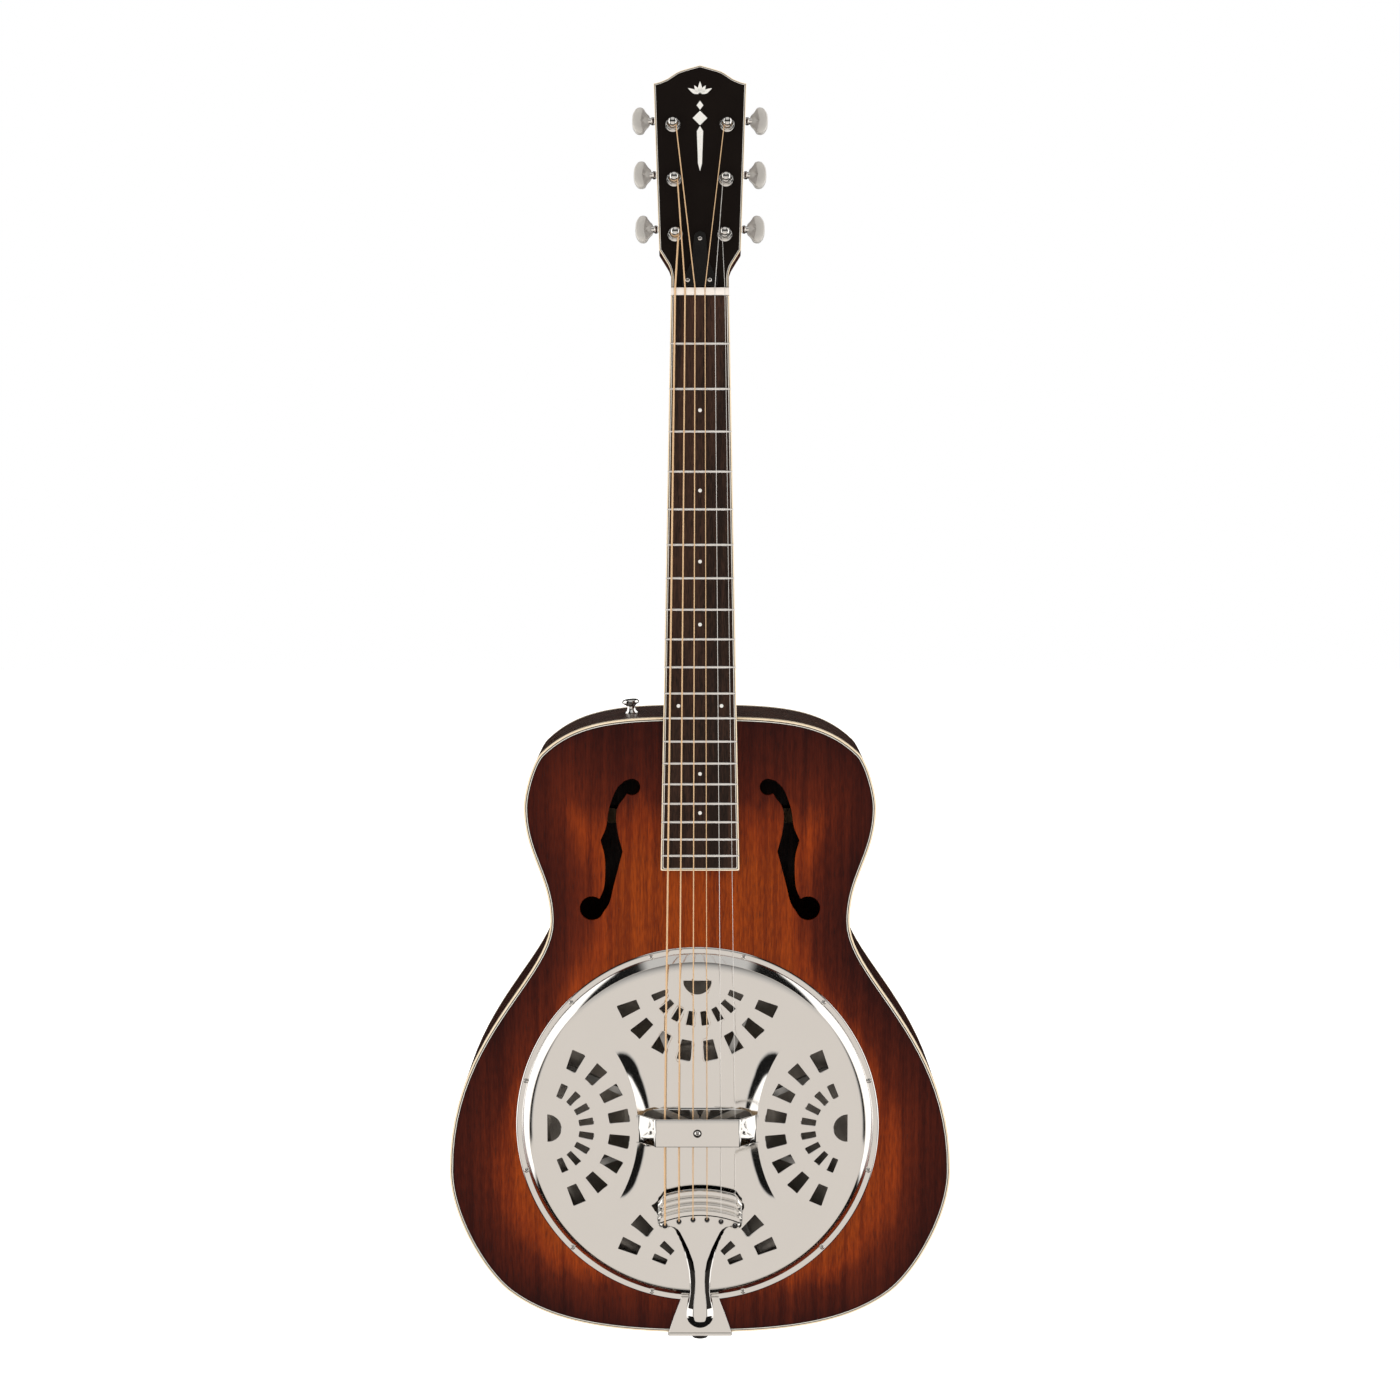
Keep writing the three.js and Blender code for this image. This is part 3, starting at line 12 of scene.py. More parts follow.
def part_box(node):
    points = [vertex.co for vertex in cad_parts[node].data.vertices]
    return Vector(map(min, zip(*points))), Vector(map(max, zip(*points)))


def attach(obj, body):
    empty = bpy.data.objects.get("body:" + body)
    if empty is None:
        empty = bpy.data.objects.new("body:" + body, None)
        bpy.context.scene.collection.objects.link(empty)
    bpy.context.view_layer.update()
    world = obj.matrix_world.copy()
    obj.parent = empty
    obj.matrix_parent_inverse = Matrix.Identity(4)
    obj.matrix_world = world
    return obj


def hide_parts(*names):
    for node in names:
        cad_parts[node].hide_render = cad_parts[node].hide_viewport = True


bl_info = {
    "name": "Resonator Guitar Finish",
    "version": (1, 0, 0),
    "blender": (4, 5, 0),
    "location": "3D View > Sidebar > Resonator",
    "description": "Builds the finished surfaces of a resonator guitar round its frame",
    "category": "Add Mesh",
}

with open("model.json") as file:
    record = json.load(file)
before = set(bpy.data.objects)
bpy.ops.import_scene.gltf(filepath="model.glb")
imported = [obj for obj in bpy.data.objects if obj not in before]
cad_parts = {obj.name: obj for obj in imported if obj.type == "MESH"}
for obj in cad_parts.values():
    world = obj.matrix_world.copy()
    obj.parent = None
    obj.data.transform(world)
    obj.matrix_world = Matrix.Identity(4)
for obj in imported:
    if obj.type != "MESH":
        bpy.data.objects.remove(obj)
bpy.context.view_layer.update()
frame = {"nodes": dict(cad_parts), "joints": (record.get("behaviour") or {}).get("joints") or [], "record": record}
MM = 0.001
BODY = "instrument"


# ------------------------------------------------------------------ places
def joint(name):
    return next(j for j in frame["joints"] if j["name"] == name)


def mount(name):
    return next(m for m in frame["record"]["mounts"] if m["name"] == name)


def upright(x, y, z):
    """A frame square to the body, with its origin at a point in metres."""
    return Matrix.Translation((x, y, z))


def leaning(up, y=0.0, z=0.0):
    """A frame that leans back: x to the right, y into the guitar, z along up."""
    lean, rise = up[1], up[2]
    return Matrix(((1, 0, 0, 0), (0, rise, lean, y), (0, -lean, rise, z), (0, 0, 0, 1)))


def box_in(node, place):
    """Lowest and highest corner of a frame node, in millimetres, seen from a leaning frame."""
    points = np.array([v.co for v in frame["nodes"][node].data.vertices], float)
    turn = np.array(place.inverted())
    local = (points @ turn[:3, :3].T + turn[:3, 3]) / MM
    return local.min(0), local.max(0)


def moved(place, y, z):
    """The same frame with its origin moved, in millimetres along its own y and z."""
    return place @ Matrix.Translation((0, y * MM, z * MM))


rim_low, rim_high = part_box("top_binding")
FACE_Y = rim_low.y
BODY_LENGTH = (rim_high.z - rim_low.z) / MM
BODY_WIDTH = (rim_high.x - rim_low.x) / MM
BODY_DEPTH = (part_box("back_binding")[1].y - FACE_Y) / MM
TOP_BINDING_DEPTH = (rim_high.y - rim_low.y) / MM

well_low, well_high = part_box("soundwell")
plate_low, plate_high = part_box("cover_plate")
WELL_Z = (well_low.z + well_high.z) / 2

SHOULDER = upright(0, FACE_Y, rim_high.z)
WELL = upright(0, FACE_Y, WELL_Z)
PLATE = upright((plate_low.x + plate_high.x) / 2, FACE_Y, (plate_low.z + plate_high.z) / 2)
PLATE_RADIUS = (plate_high.x - plate_low.x) / 2 / MM

neck_turn = leaning(joint("turn_truss_nut")["axis"])
board_low, board_high = box_in("fretboard_binding", neck_turn)
NECK = moved(neck_turn, board_low[1], board_high[2])
BOARD_LENGTH = board_high[2] - board_low[2]
BOARD_DEPTH = board_high[1] - board_low[1]
NUT_LOW, NUT_HIGH = box_in("nut", NECK)
NUT_WIDTH = NUT_HIGH[0] - NUT_LOW[0]
BOARD_END_WIDTH = board_high[0] - board_low[0]

post_axis = joint("turn_post_bass_1")["axis"]
head_turn = leaning((0, -post_axis[2], post_axis[1]))
veneer_low, veneer_high = box_in("headstock_veneer", head_turn)
VENEER_FOOT = 0.7
HEAD = moved(head_turn, veneer_low[1], veneer_low[2] - VENEER_FOOT)
HEAD_LENGTH = veneer_high[2] - veneer_low[2] + VENEER_FOOT
HEAD_WIDTH = veneer_high[0] - veneer_low[0]

TUNERS = [(side, row) for row in (1, 2, 3) for side in ("bass", "treble")]


def post_place(side, row):
    """The head frame moved to the middle of one tuner post."""
    low, high = box_in(f"tuner_post_{side}_{row}", HEAD)
    return HEAD @ Matrix.Translation(((low[0] + high[0]) / 2 * MM, 0, (low[2] + high[2]) / 2 * MM))


# ------------------------------------------------------------------ sizes and colours
def length(name, text, mm):
    return FloatProperty(name=name, description=text, default=mm * MM, unit="LENGTH")


def colour(name, text, red, green, blue):
    return FloatVectorProperty(
        name=name, description=text, default=(red, green, blue), size=3, subtype="COLOR", min=0, max=1
    )


class ResonatorSizes(bpy.types.PropertyGroup):
    upper_bout: length("Upper bout", "Width of the body above the waist", 274)
    waist: length("Waist", "Width of the body at the waist", 234)
    binding_width: length("Binding", "Width of the cream binding on the face", 1.5)
    purfling_line: length("Purfling line", "Width of each line inside the binding", 0.5)
    burst_reach: length("Burst reach", "How far the dark edge runs into the top", 60)
    plate_sheet: length("Plate sheet", "Thickness of the cover plate", 0.9)
    dome_rise: length("Dome rise", "How far the dome bulges over its own rim", 3.4)
    trough_depth: length("Trough depth", "How far the string trough is pressed into the dome", 6.6)
    fret_width: length("Fret width", "Width of a fret's crown", 1.8)
    fret_height: length("Fret height", "Height of a fret's crown", 1.1)
    inlay_radius: length("Position dots", "Radius of the pearl dots", 1.45)
    outline_steps: IntProperty(name="Outline steps", description="Points between outline knots", default=22)


class ResonatorColours(bpy.types.PropertyGroup):
    burst_middle: colour("Burst middle", "Stain in the middle of the top", 0.315, 0.052, 0.0032)
    burst_middle_dark: colour("Burst streaks", "Dark streaks in the middle", 0.125, 0.016, 0.0012)
    side_stain: colour("Sides and neck", "Stain of the sides, back and neck", 0.055, 0.014, 0.007)
    rosewood: colour("Fretboard", "Light streaks of the fretboard", 0.055, 0.024, 0.014)
    rosewood_dark: colour("Fretboard dark", "Dark streaks of the fretboard", 0.014, 0.007, 0.0045)
    cream: colour("Binding", "Aged cream of the bindings", 0.78, 0.66, 0.50)
    plate_metal: colour("Chrome", "Tint of the plated metal", 0.93, 0.915, 0.89)
    bronze: colour("Bronze", "Windings of the lower strings", 0.86, 0.58, 0.33)


def sizes():
    return bpy.context.scene.resonator_sizes


def colours():
    return bpy.context.scene.resonator_colours


# ------------------------------------------------------------------ mesh making
def make_piece(name, points, faces, finish, place, body=BODY, slot=None, stands_for=(), sharp=35):
    """A mesh piece from points in millimetres in a frame, in a named finish, riding on a body."""
    mesh = bpy.data.meshes.new(name)
    mesh.from_pydata([Vector(p) * MM for p in points], [], [tuple(f) for f in faces])
    mesh.transform(place)
    work = bmesh.new()
    work.from_mesh(mesh)
    bmesh.ops.remove_doubles(work, verts=work.verts, dist=2e-7)
    bmesh.ops.recalc_face_normals(work, faces=work.faces)
    work.to_mesh(mesh)
    work.free()
    mesh.shade_smooth()
    mesh.set_sharp_from_angle(angle=math.radians(sharp))
    piece = bpy.data.objects.new(name, mesh)
    bpy.context.scene.collection.objects.link(piece)
    mesh.materials.append(MATERIALS[finish])
    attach(piece, body)
    if stands_for:
        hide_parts(*stands_for)
    return piece


def soften(piece, width, segments=2, angle=30):
    """Rounds the sharp edges of a piece, as polishing does."""
    bevel = piece.modifiers.new("soft_edges", "BEVEL")
    bevel.width = width * MM
    bevel.segments = segments
    bevel.limit_method = "ANGLE"
    bevel.angle_limit = math.radians(angle)
    bevel.harden_normals = True
    bevel.use_clamp_overlap = True
    return piece


def merge(*solids):
    """Several (points, faces) lists as one."""
    points, faces = [], []
    for more_points, more_faces in solids:
        start = len(points)
        points += list(more_points)
        faces += [tuple(i + start for i in f) for f in more_faces]
    return points, faces


def shifted(solid, dx=0.0, dy=0.0, dz=0.0, turn=None):
    points, faces = solid
    if turn is not None:
        points = [turn @ Vector(p) for p in points]
    return [(p[0] + dx, p[1] + dy, p[2] + dz) for p in points], faces


def lathe(profile, segments=48, axis="y"):
    """A profile of (radius, height) pairs spun about an axis; radius 0 closes it on the axis."""
    points, rings = [], []
    for radius, height in profile:
        if radius <= 1e-6:
            rings.append([len(points)])
            points.append((0.0, height))
        else:
            ring = []
            for k in range(segments):
                a = 2 * math.pi * k / segments
                ring.append(len(points))
                points.append((radius * math.cos(a), radius * math.sin(a), height))
            rings.append(ring)
    closed = profile[0] == profile[-1] and profile[0][0] > 1e-6
    faces = []
    for low, high in zip(rings, rings[1:]):
        for k in range(segments):
            n = (k + 1) % segments
            if len(low) == 1 and len(high) > 1:
                faces.append((low[0], high[k], high[n]))
            elif len(high) == 1 and len(low) > 1:
                faces.append((low[k], low[n], high[0]))
            elif len(low) > 1:
                faces.append((low[k], low[n], high[n], high[k]))
    if not closed:
        for ring in (rings[0], rings[-1]):
            if len(ring) > 1:
                faces.append(tuple(ring))
    placed = []
    for p in points:
        a, b, h = (0.0, 0.0, p[1]) if len(p) == 2 else p
        placed.append({"y": (a, h, b), "z": (a, b, h), "x": (h, a, b)}[axis])
    return placed, faces


def inside(xz, loop):
    """True for each point of xz that lies inside a closed loop."""
    a = np.array(loop, float)
    b = np.roll(a, -1, 0)
    x, z = xz[:, 0][:, None], xz[:, 1][:, None]
    crosses = (a[:, 1] > z) != (b[:, 1] > z)
    rise = np.where(b[:, 1] == a[:, 1], 1e-12, b[:, 1] - a[:, 1])
    return (np.sum(crosses & (x < (b[:, 0] - a[:, 0]) * (z - a[:, 1]) / rise + a[:, 0]), 1) % 2) == 1


def fill(loops, extra=()):
    """Triangles that fill the first loop but not the others, with extra points inside."""
    flat, edges = [], []
    for loop in loops:
        start = len(flat)
        flat += [Vector((p[0], p[1])) for p in loop]
        edges += [(start + i, start + (i + 1) % len(loop)) for i in range(len(loop))]
    flat += [Vector((p[0], p[1])) for p in extra]
    points, _, triangles, _, _, _ = delaunay_2d_cdt(flat, edges, [], 0, 1e-5)
    xz = np.array(points, float)
    index = np.array(triangles, int)
    centre = xz[index].mean(1)
    keep = inside(centre, loops[0])
    for hole in loops[1:]:
        keep &= ~inside(centre, hole)
    return xz, index[keep]


def prism(loops, front, back):
    """A flat plate with holes between two depths, drawn in x and z."""
    xz, triangles = fill(loops)
    count = len(xz)
    points = [(x, front, z) for x, z in xz] + [(x, back, z) for x, z in xz]
    faces = [tuple(t) for t in triangles] + [tuple(i + count for i in reversed(t)) for t in triangles]
    edges = {}
    for t in triangles:
        for a, b in ((t[0], t[1]), (t[1], t[2]), (t[2], t[0])):
            edges[(a, b)] = True
    for a, b in edges:
        if (b, a) not in edges:
            faces.append((a, a + count, b + count, b))
    return points, faces


def loft(rings, closed=True, caps=True):
    """Joins rings of equal length with faces."""
    count = len(rings[0])
    points = [p for ring in rings for p in ring]
    faces = []
    for s in range(len(rings) - 1):
        for k in range(count if closed else count - 1):
            a, b = s * count + k, s * count + (k + 1) % count
            faces.append((a, b, b + count, a + count))
    if caps and closed:
        last = (len(rings) - 1) * count
        faces.append(tuple(range(count)))
        faces.append(tuple(range(last, last + count)))
    return points, faces


def sweep(path, radius, sides=10):
    """A round rod along points."""
    path = [Vector(p) for p in path]
    rings = []
    side = None
    for i, p in enumerate(path):
        ahead = (path[min(i + 1, len(path) - 1)] - path[max(i - 1, 0)]).normalized()
        if side is None:
            side = ahead.orthogonal().normalized()
        side = (side - ahead * side.dot(ahead)).normalized()
        other = ahead.cross(side)
        r = radius[i] if isinstance(radius, (list, tuple)) else radius
        rings.append([
            tuple(p + (side * math.cos(t) + other * math.sin(t)) * r)
            for t in (2 * math.pi * k / sides for k in range(sides))
        ])
    return loft(rings)


def brick(low, high):
    """A box between two corners."""
    (x0, y0, z0), (x1, y1, z1) = low, high
    points = [(x, y, z) for x in (x0, x1) for y in (y0, y1) for z in (z0, z1)]
    return points, [(0, 1, 3, 2), (4, 6, 7, 5), (0, 4, 5, 1), (2, 3, 7, 6), (0, 2, 6, 4), (1, 5, 7, 3)]


def circle(x, z, radius, count=48, start=0.0):
    steps = (start + 2 * math.pi * k / count for k in range(count))
    return [(x + radius * math.cos(a), z + radius * math.sin(a)) for a in steps]


def smooth_line(points, steps=6):
    """Catmull-Rom points through the given ones, without the last."""
    p = [np.array(q, float) for q in points]
    p = [2 * p[0] - p[1]] + p + [2 * p[-1] - p[-2]]
    line = []
    for a, b, c, d in zip(p, p[1:], p[2:], p[3:]):
        for k in range(steps):
            t = k / steps
            bend = 2 * b + (c - a) * t + (2 * a - 5 * b + 4 * c - d) * t**2 + (3 * b - a - 3 * c + d) * t**3
            line.append(tuple(bend / 2))
    return line


def inset_loop(loop, distance):
    """A closed loop moved inwards by a distance, with mitred corners."""
    p = np.array(loop, float)
    area = np.sum(p[:, 0] * np.roll(p[:, 1], -1) - np.roll(p[:, 0], -1) * p[:, 1])
    side = 1.0 if area > 0 else -1.0
    ahead = np.roll(p, -1, 0) - p
    ahead /= np.linalg.norm(ahead, axis=1)[:, None]
    normal = np.stack([-ahead[:, 1], ahead[:, 0]], 1) * side
    before = np.roll(normal, 1, 0)
    bend = normal + before
    bend /= np.maximum(np.sum(bend * normal, 1), 0.35)[:, None]
    return [tuple(q) for q in p + bend * distance]


def mirrored(half):
    """A right half from bottom to top, closed by its mirror image."""
    other = [(-x, z) for x, z in reversed(half) if abs(x) > 1e-6]
    return list(half) + other


def smoothstep(low, high, value):
    t = np.clip((value - low) / (high - low), 0, 1)
    return t * t * (3 - 2 * t)


# ------------------------------------------------------------------ outlines
def body_knots():
    """Half width, drop, heading in degrees, and the curve handles before and after."""
    bout, waist, lower = sizes().upper_bout / MM / 2, sizes().waist / MM / 2, BODY_WIDTH / 2
    return [
        (0, 0, 0, 0, 60),
        (bout - 14, 28, 44, 38, 10),
        (bout, 71, 90, 12, 37),
        (waist, 160, 90, 36, 46),
        (lower, 361, 90, 109, 36),
        (lower - 47, BODY_LENGTH - 33, 142, 27, 44),
        (0, BODY_LENGTH, 180, 64, 0),
    ]


def body_outline(inset=0.0):
    """The closed outline of the body in the shoulder frame, moved inwards by inset."""
    half = []
    knots = body_knots()
    steps = sizes().outline_steps
    for k, (start, end) in enumerate(zip(knots, knots[1:])):
        a, d = np.array(start[:2], float), np.array(end[:2], float)
        turn = [np.array([math.cos(math.radians(q[2])), math.sin(math.radians(q[2]))]) for q in (start,
                                                                                                 end)]
        b, c = a + turn[0] * start[4], d - turn[1] * end[3]
        last = k == len(knots) - 2
        for i in range(steps + (1 if last else 0)):
            t = i / steps
            p = a * (1 - t) ** 3 + 3 * b * t * (1 - t) ** 2 + 3 * c * t * t * (1 - t) + d * t**3
            along = (b - a) * (1 - t) ** 2 + 2 * (c - b) * t * (1 - t) + (d - c) * t * t
            along /= np.linalg.norm(along)
            q = p + np.array([-along[1], along[0]]) * inset
            half.append((max(q[0], 0.0), -q[1]))
    half[0] = (0.0, half[0][1])
    half[-1] = (0.0, half[-1][1])
    return half + [(-x, z) for x, z in reversed(half[1:-1])]


def f_hole(side):
    """One f-shaped sound hole: two round lobes joined by a blade with a nick in each edge."""
    def lobe(x, drop, radius, start, end, count):
        steps = (math.radians(start + (end - start) * k / count) for k in range(count))
        return [(x + radius * math.cos(a), drop + radius * math.sin(a)) for a in steps]

    upper_outer = [(58.6, 49.6), (65.0, 56.4), (70.6, 71.0), (73.0, 85.7), (77.4, 96.3)]
    lower_outer = [(77.4, 96.3), (74.0, 111.0), (74.6, 132.0), (78.6, 143.0)]
    lower_inner = [(75.6, 153.4), (70.6, 145.0), (66.6, 129.0), (60.3, 105.1)]
    upper_inner = [(60.3, 105.1), (64.4, 88.0), (64.6, 72.0), (57.2, 60.6)]
    line = smooth_line(upper_outer) + smooth_line(lower_outer)
    line += lobe(84.4, 149.9, 9.4, -128, 162, 26)
    line += smooth_line(lower_inner) + smooth_line(upper_inner)
    line += lobe(52.8, 54.4, 6.4, 52, 305, 20)
    return [(side * x, -drop) for x, drop in line]


def head_outline(foot):
    """The closed outline of the headstock in the head frame."""
    wide, top = HEAD_WIDTH / 2, HEAD_LENGTH
    flare = smooth_line([(wide - 14.1, foot), (wide - 14.0, 9.4), (wide - 12.5, 15.9),
                         (wide - 10.5, 19.9), (wide - 4.5, 29.9)])
    edge = [(wide - 4.5, 29.9), (wide - 2.2, 96)]
    crown = smooth_line([(wide, top - 14.7), (wide - 4.2, top - 13.6), (wide - 10.2, top - 11.0),
                         (wide - 14.3, top - 8.2), (wide - 20.4, top - 4.6), (0, top)])
    return mirrored(flare + edge + crown + [(0, top)])


def board_half(distance):
    """Half width of the fretboard at a distance from the nut."""
    return NUT_WIDTH / 2 + (BOARD_END_WIDTH - NUT_WIDTH) / 2 * distance / BOARD_LENGTH


# ------------------------------------------------------------------ material tools
def put(tree, kind, inputs=None, **settings):
    """Adds a node; an input given as a socket is linked, anything else is its value."""
    node = tree.nodes.new(kind)
    for key, value in settings.items():
        setattr(node, key, value)
    for key, value in (inputs or {}).items():
        if isinstance(value, bpy.types.NodeSocket):
            tree.links.new(value, node.inputs[key])
        else:
            node.inputs[key].default_value = value
    return node


def maths(tree, operation, a, b=0.0, clamp=False):
    return put(tree, "ShaderNodeMath", {0: a, 1: b}, operation=operation, use_clamp=clamp).outputs[0]


def blend(tree, share, a, b, kind="MIX"):
    node = tree.nodes.new("ShaderNodeMix")
    node.data_type = "RGBA"
    node.blend_type = kind
    for key, value in ((0, share), (6, a), (7, b)):
        if isinstance(value, bpy.types.NodeSocket):
            tree.links.new(value, node.inputs[key])
        else:
            node.inputs[key].default_value = value
    return node.outputs[2]


def remap(tree, value, low, high, to_low=0.0, to_high=1.0):
    inputs = {"Value": value, "From Min": low, "From Max": high, "To Min": to_low, "To Max": to_high}
    return put(tree, "ShaderNodeMapRange", inputs, clamp=True).outputs["Result"]


def noise(tree, inputs):
    """A cloudy mask; its inputs are given as for put."""
    return put(tree, "ShaderNodeTexNoise", inputs).outputs["Fac"]


def solid_colour(rgb):
    return (rgb[0], rgb[1], rgb[2], 1.0)


GROUPS = {}


def effect(name, inputs, outputs):
    """An empty node group with named sockets; returns the tree and its two end nodes."""
    tree = bpy.data.node_groups.new(name, "ShaderNodeTree")
    for label, kind, default in inputs:
        socket = tree.interface.new_socket(label, in_out="INPUT", socket_type=kind)
        socket.default_value = default
    for label, kind in outputs:
        tree.interface.new_socket(label, in_out="OUTPUT", socket_type=kind)
    GROUPS[name] = tree
    return tree, tree.nodes.new("NodeGroupInput"), tree.nodes.new("NodeGroupOutput")


def use(tree, name, **inputs):
    """Places a node group in a material with its own values."""
    node = tree.nodes.new("ShaderNodeGroup")
    node.node_tree = GROUPS[name]
    for key, value in inputs.items():
        socket = node.inputs[key.replace("_", " ")]
        if isinstance(value, bpy.types.NodeSocket):
            tree.links.new(value, socket)
        else:
            socket.default_value = value
    return node.outputs


def make_grain_effect():
    """Straight-grained wood: broad figure, fine streaks and short open pores along z."""
    colour_kind, value_kind = "NodeSocketColor", "NodeSocketFloat"
    tree, given, out = effect(
        "Wood grain",
        [("Light", colour_kind, (0.5, 0.3, 0.1, 1)), ("Dark", colour_kind, (0.1, 0.05, 0.02, 1)),
         ("Figure", value_kind, 0.5), ("Streaks", value_kind, 0.5), ("Pores", value_kind, 0.5),
         ("Fineness", value_kind, 1.0)],
        [("Colour", colour_kind), ("Roughness", value_kind), ("Height", value_kind)],
    )
    place = put(tree, "ShaderNodeTexCoord").outputs["Object"]
    sized = put(tree, "ShaderNodeVectorMath", {0: place, "Scale": given.outputs["Fineness"]},
                operation="SCALE")

    def stretched(across, along):
        scale = put(tree, "ShaderNodeVectorMath", {0: sized.outputs[0], 1: (across, across, along)},
                    operation="MULTIPLY")
        return scale.outputs[0]

    broad = noise(tree, {"Vector": stretched(26, 2.2), "Scale": 1.0, "Detail": 3.0, "Distortion": 0.6})
    fine = noise(tree, {"Vector": stretched(210, 5.5), "Scale": 1.0, "Detail": 5.0, "Roughness": 0.62})
    fibre = noise(tree, {"Vector": stretched(760, 100), "Scale": 1.0, "Detail": 2.0})
    pore = noise(tree, {"Vector": stretched(1500, 90), "Scale": 1.0, "Detail": 1.0})
    figure = maths(tree, "MULTIPLY", remap(tree, broad, 0.34, 0.68), given.outputs["Figure"])
    streak = maths(tree, "MULTIPLY", remap(tree, fine, 0.36, 0.66), given.outputs["Streaks"])
    thread = maths(tree, "MULTIPLY", remap(tree, fibre, 0.34, 0.66), 0.42)
    darkness = maths(tree, "ADD", maths(tree, "ADD", figure, streak), thread, clamp=True)
    pit = maths(tree, "MULTIPLY", remap(tree, pore, 0.60, 0.70), given.outputs["Pores"], clamp=True)
    stained = blend(tree, darkness, given.outputs["Light"], given.outputs["Dark"])
    pitted = blend(tree, maths(tree, "MULTIPLY", pit, 0.75), stained,
                   blend(tree, 0.7, stained, (0, 0, 0, 1)))
    tree.links.new(pitted, out.inputs["Colour"])
    rough = maths(tree, "ADD", maths(tree, "MULTIPLY", darkness, 0.08), maths(tree, "MULTIPLY", pit, 0.2))
    tree.links.new(rough, out.inputs["Roughness"])
    tree.links.new(maths(tree, "SUBTRACT", maths(tree, "MULTIPLY", fine, 0.4), pit), out.inputs["Height"])


def make_handling_effect():
    """Marks of use on a polished surface: soft smears, hairlines and a fine unevenness."""
    value_kind = "NodeSocketFloat"
    tree, given, out = effect(
        "Handling marks",
        [("Smears", value_kind, 0.5), ("Hairlines", value_kind, 0.5), ("Size", value_kind, 1.0)],
        [("Roughness", value_kind), ("Height", value_kind), ("Mask", value_kind)],
    )
    place = put(tree, "ShaderNodeTexCoord").outputs["Object"]
    sized = put(tree, "ShaderNodeVectorMath", {0: place, "Scale": given.outputs["Size"]},
                operation="SCALE").outputs[0]
    cloud = noise(tree, {"Vector": sized, "Scale": 38.0, "Detail": 5.0, "Distortion": 1.2})
    smear = maths(tree, "MULTIPLY", remap(tree, cloud, 0.45, 0.75), given.outputs["Smears"])
    lines = 0.0
    for turn in (0.4, 1.7, 2.6):
        turned = put(tree, "ShaderNodeVectorRotate", {"Vector": sized, "Axis": (0, 1, 0), "Angle": turn},
                     rotation_type="AXIS_ANGLE").outputs[0]
        drawn = put(tree, "ShaderNodeVectorMath", {0: turned, 1: (3800, 900, 60)},
                    operation="MULTIPLY").outputs[0]
        hair = noise(tree, {"Vector": drawn, "Scale": 1.0, "Detail": 0.0})
        lines = maths(tree, "ADD", lines, remap(tree, hair, 0.74, 0.80))
    lines = maths(tree, "MULTIPLY", lines, given.outputs["Hairlines"], clamp=True)
    tree.links.new(maths(tree, "ADD", maths(tree, "MULTIPLY", smear, 0.10),
                         maths(tree, "MULTIPLY", lines, 0.08)),
                   out.inputs["Roughness"])
    tree.links.new(maths(tree, "SUBTRACT", maths(tree, "MULTIPLY", cloud, 0.2), lines),
                   out.inputs["Height"])
    tree.links.new(smear, out.inputs["Mask"])


def make_dust_effect():
    """Thin dust that settles on faces that look up."""
    value_kind = "NodeSocketFloat"
    tree, given, out = effect("Settled dust", [("Amount", value_kind, 0.3)], [("Mask", value_kind)])
    facing = put(tree, "ShaderNodeSeparateXYZ",
                 {0: put(tree, "ShaderNodeNewGeometry").outputs["Normal"]}).outputs[2]
    up = remap(tree, facing, 0.55, 0.98)
    place = put(tree, "ShaderNodeTexCoord").outputs["Object"]
    speck = noise(tree, {"Vector": place, "Scale": 420.0, "Detail": 4.0})
    dust = maths(tree, "MULTIPLY", up, remap(tree, speck, 0.35, 0.7, 0.3, 1.0))
    tree.links.new(maths(tree, "MULTIPLY", dust, given.outputs["Amount"], clamp=True), out.inputs["Mask"])


def make_mottle_effect():
    """Slow drift of a cast or aged colour, with faint specks."""
    colour_kind, value_kind = "NodeSocketColor", "NodeSocketFloat"
    tree, given, out = effect(
        "Aged colour",
        [("Clean", colour_kind, (0.8, 0.8, 0.8, 1)), ("Aged", colour_kind, (0.6, 0.5, 0.4, 1)),
         ("Amount", value_kind, 0.5), ("Scale", value_kind, 60.0)],
        [("Colour", colour_kind), ("Height", value_kind)],
    )
    place = put(tree, "ShaderNodeTexCoord").outputs["Object"]
    cloud = noise(tree, {"Vector": place, "Scale": given.outputs["Scale"], "Detail": 6.0, "Roughness": 0.6})
    share = maths(tree, "MULTIPLY", remap(tree, cloud, 0.3, 0.72), given.outputs["Amount"])
    tree.links.new(blend(tree, share, given.outputs["Clean"], given.outputs["Aged"]), out.inputs["Colour"])
    tree.links.new(cloud, out.inputs["Height"])


def start_material(name, roughness=0.4, metallic=0.0, specular=0.5, coat=0.0):
    material = bpy.data.materials.new(name)
    material.use_nodes = True
    tree = material.node_tree
    shader = tree.nodes["Principled BSDF"]
    shader.inputs["Roughness"].default_value = roughness
    shader.inputs["Metallic"].default_value = metallic
    shader.inputs["Specular IOR Level"].default_value = specular
    shader.inputs["Coat Weight"].default_value = coat
    shader.inputs["Coat Roughness"].default_value = 0.06
    return material, tree, shader


def connect(tree, shader, colour_from=None, rough_from=None, base_rough=0.0, height=None, strength=0.2,
            depth=0.0002):
    """Feeds the shader: colour, roughness added to a base, and a height as a bump."""
    if colour_from is not None:
        tree.links.new(colour_from, shader.inputs["Base Color"])
    if rough_from is not None:
        tree.links.new(maths(tree, "ADD", rough_from, base_rough, clamp=True), shader.inputs["Roughness"])
    if height is not None:
        bump = put(tree, "ShaderNodeBump", {"Height": height, "Strength": strength, "Distance": depth})
        tree.links.new(bump.outputs[0], shader.inputs["Normal"])


MATERIALS = {}


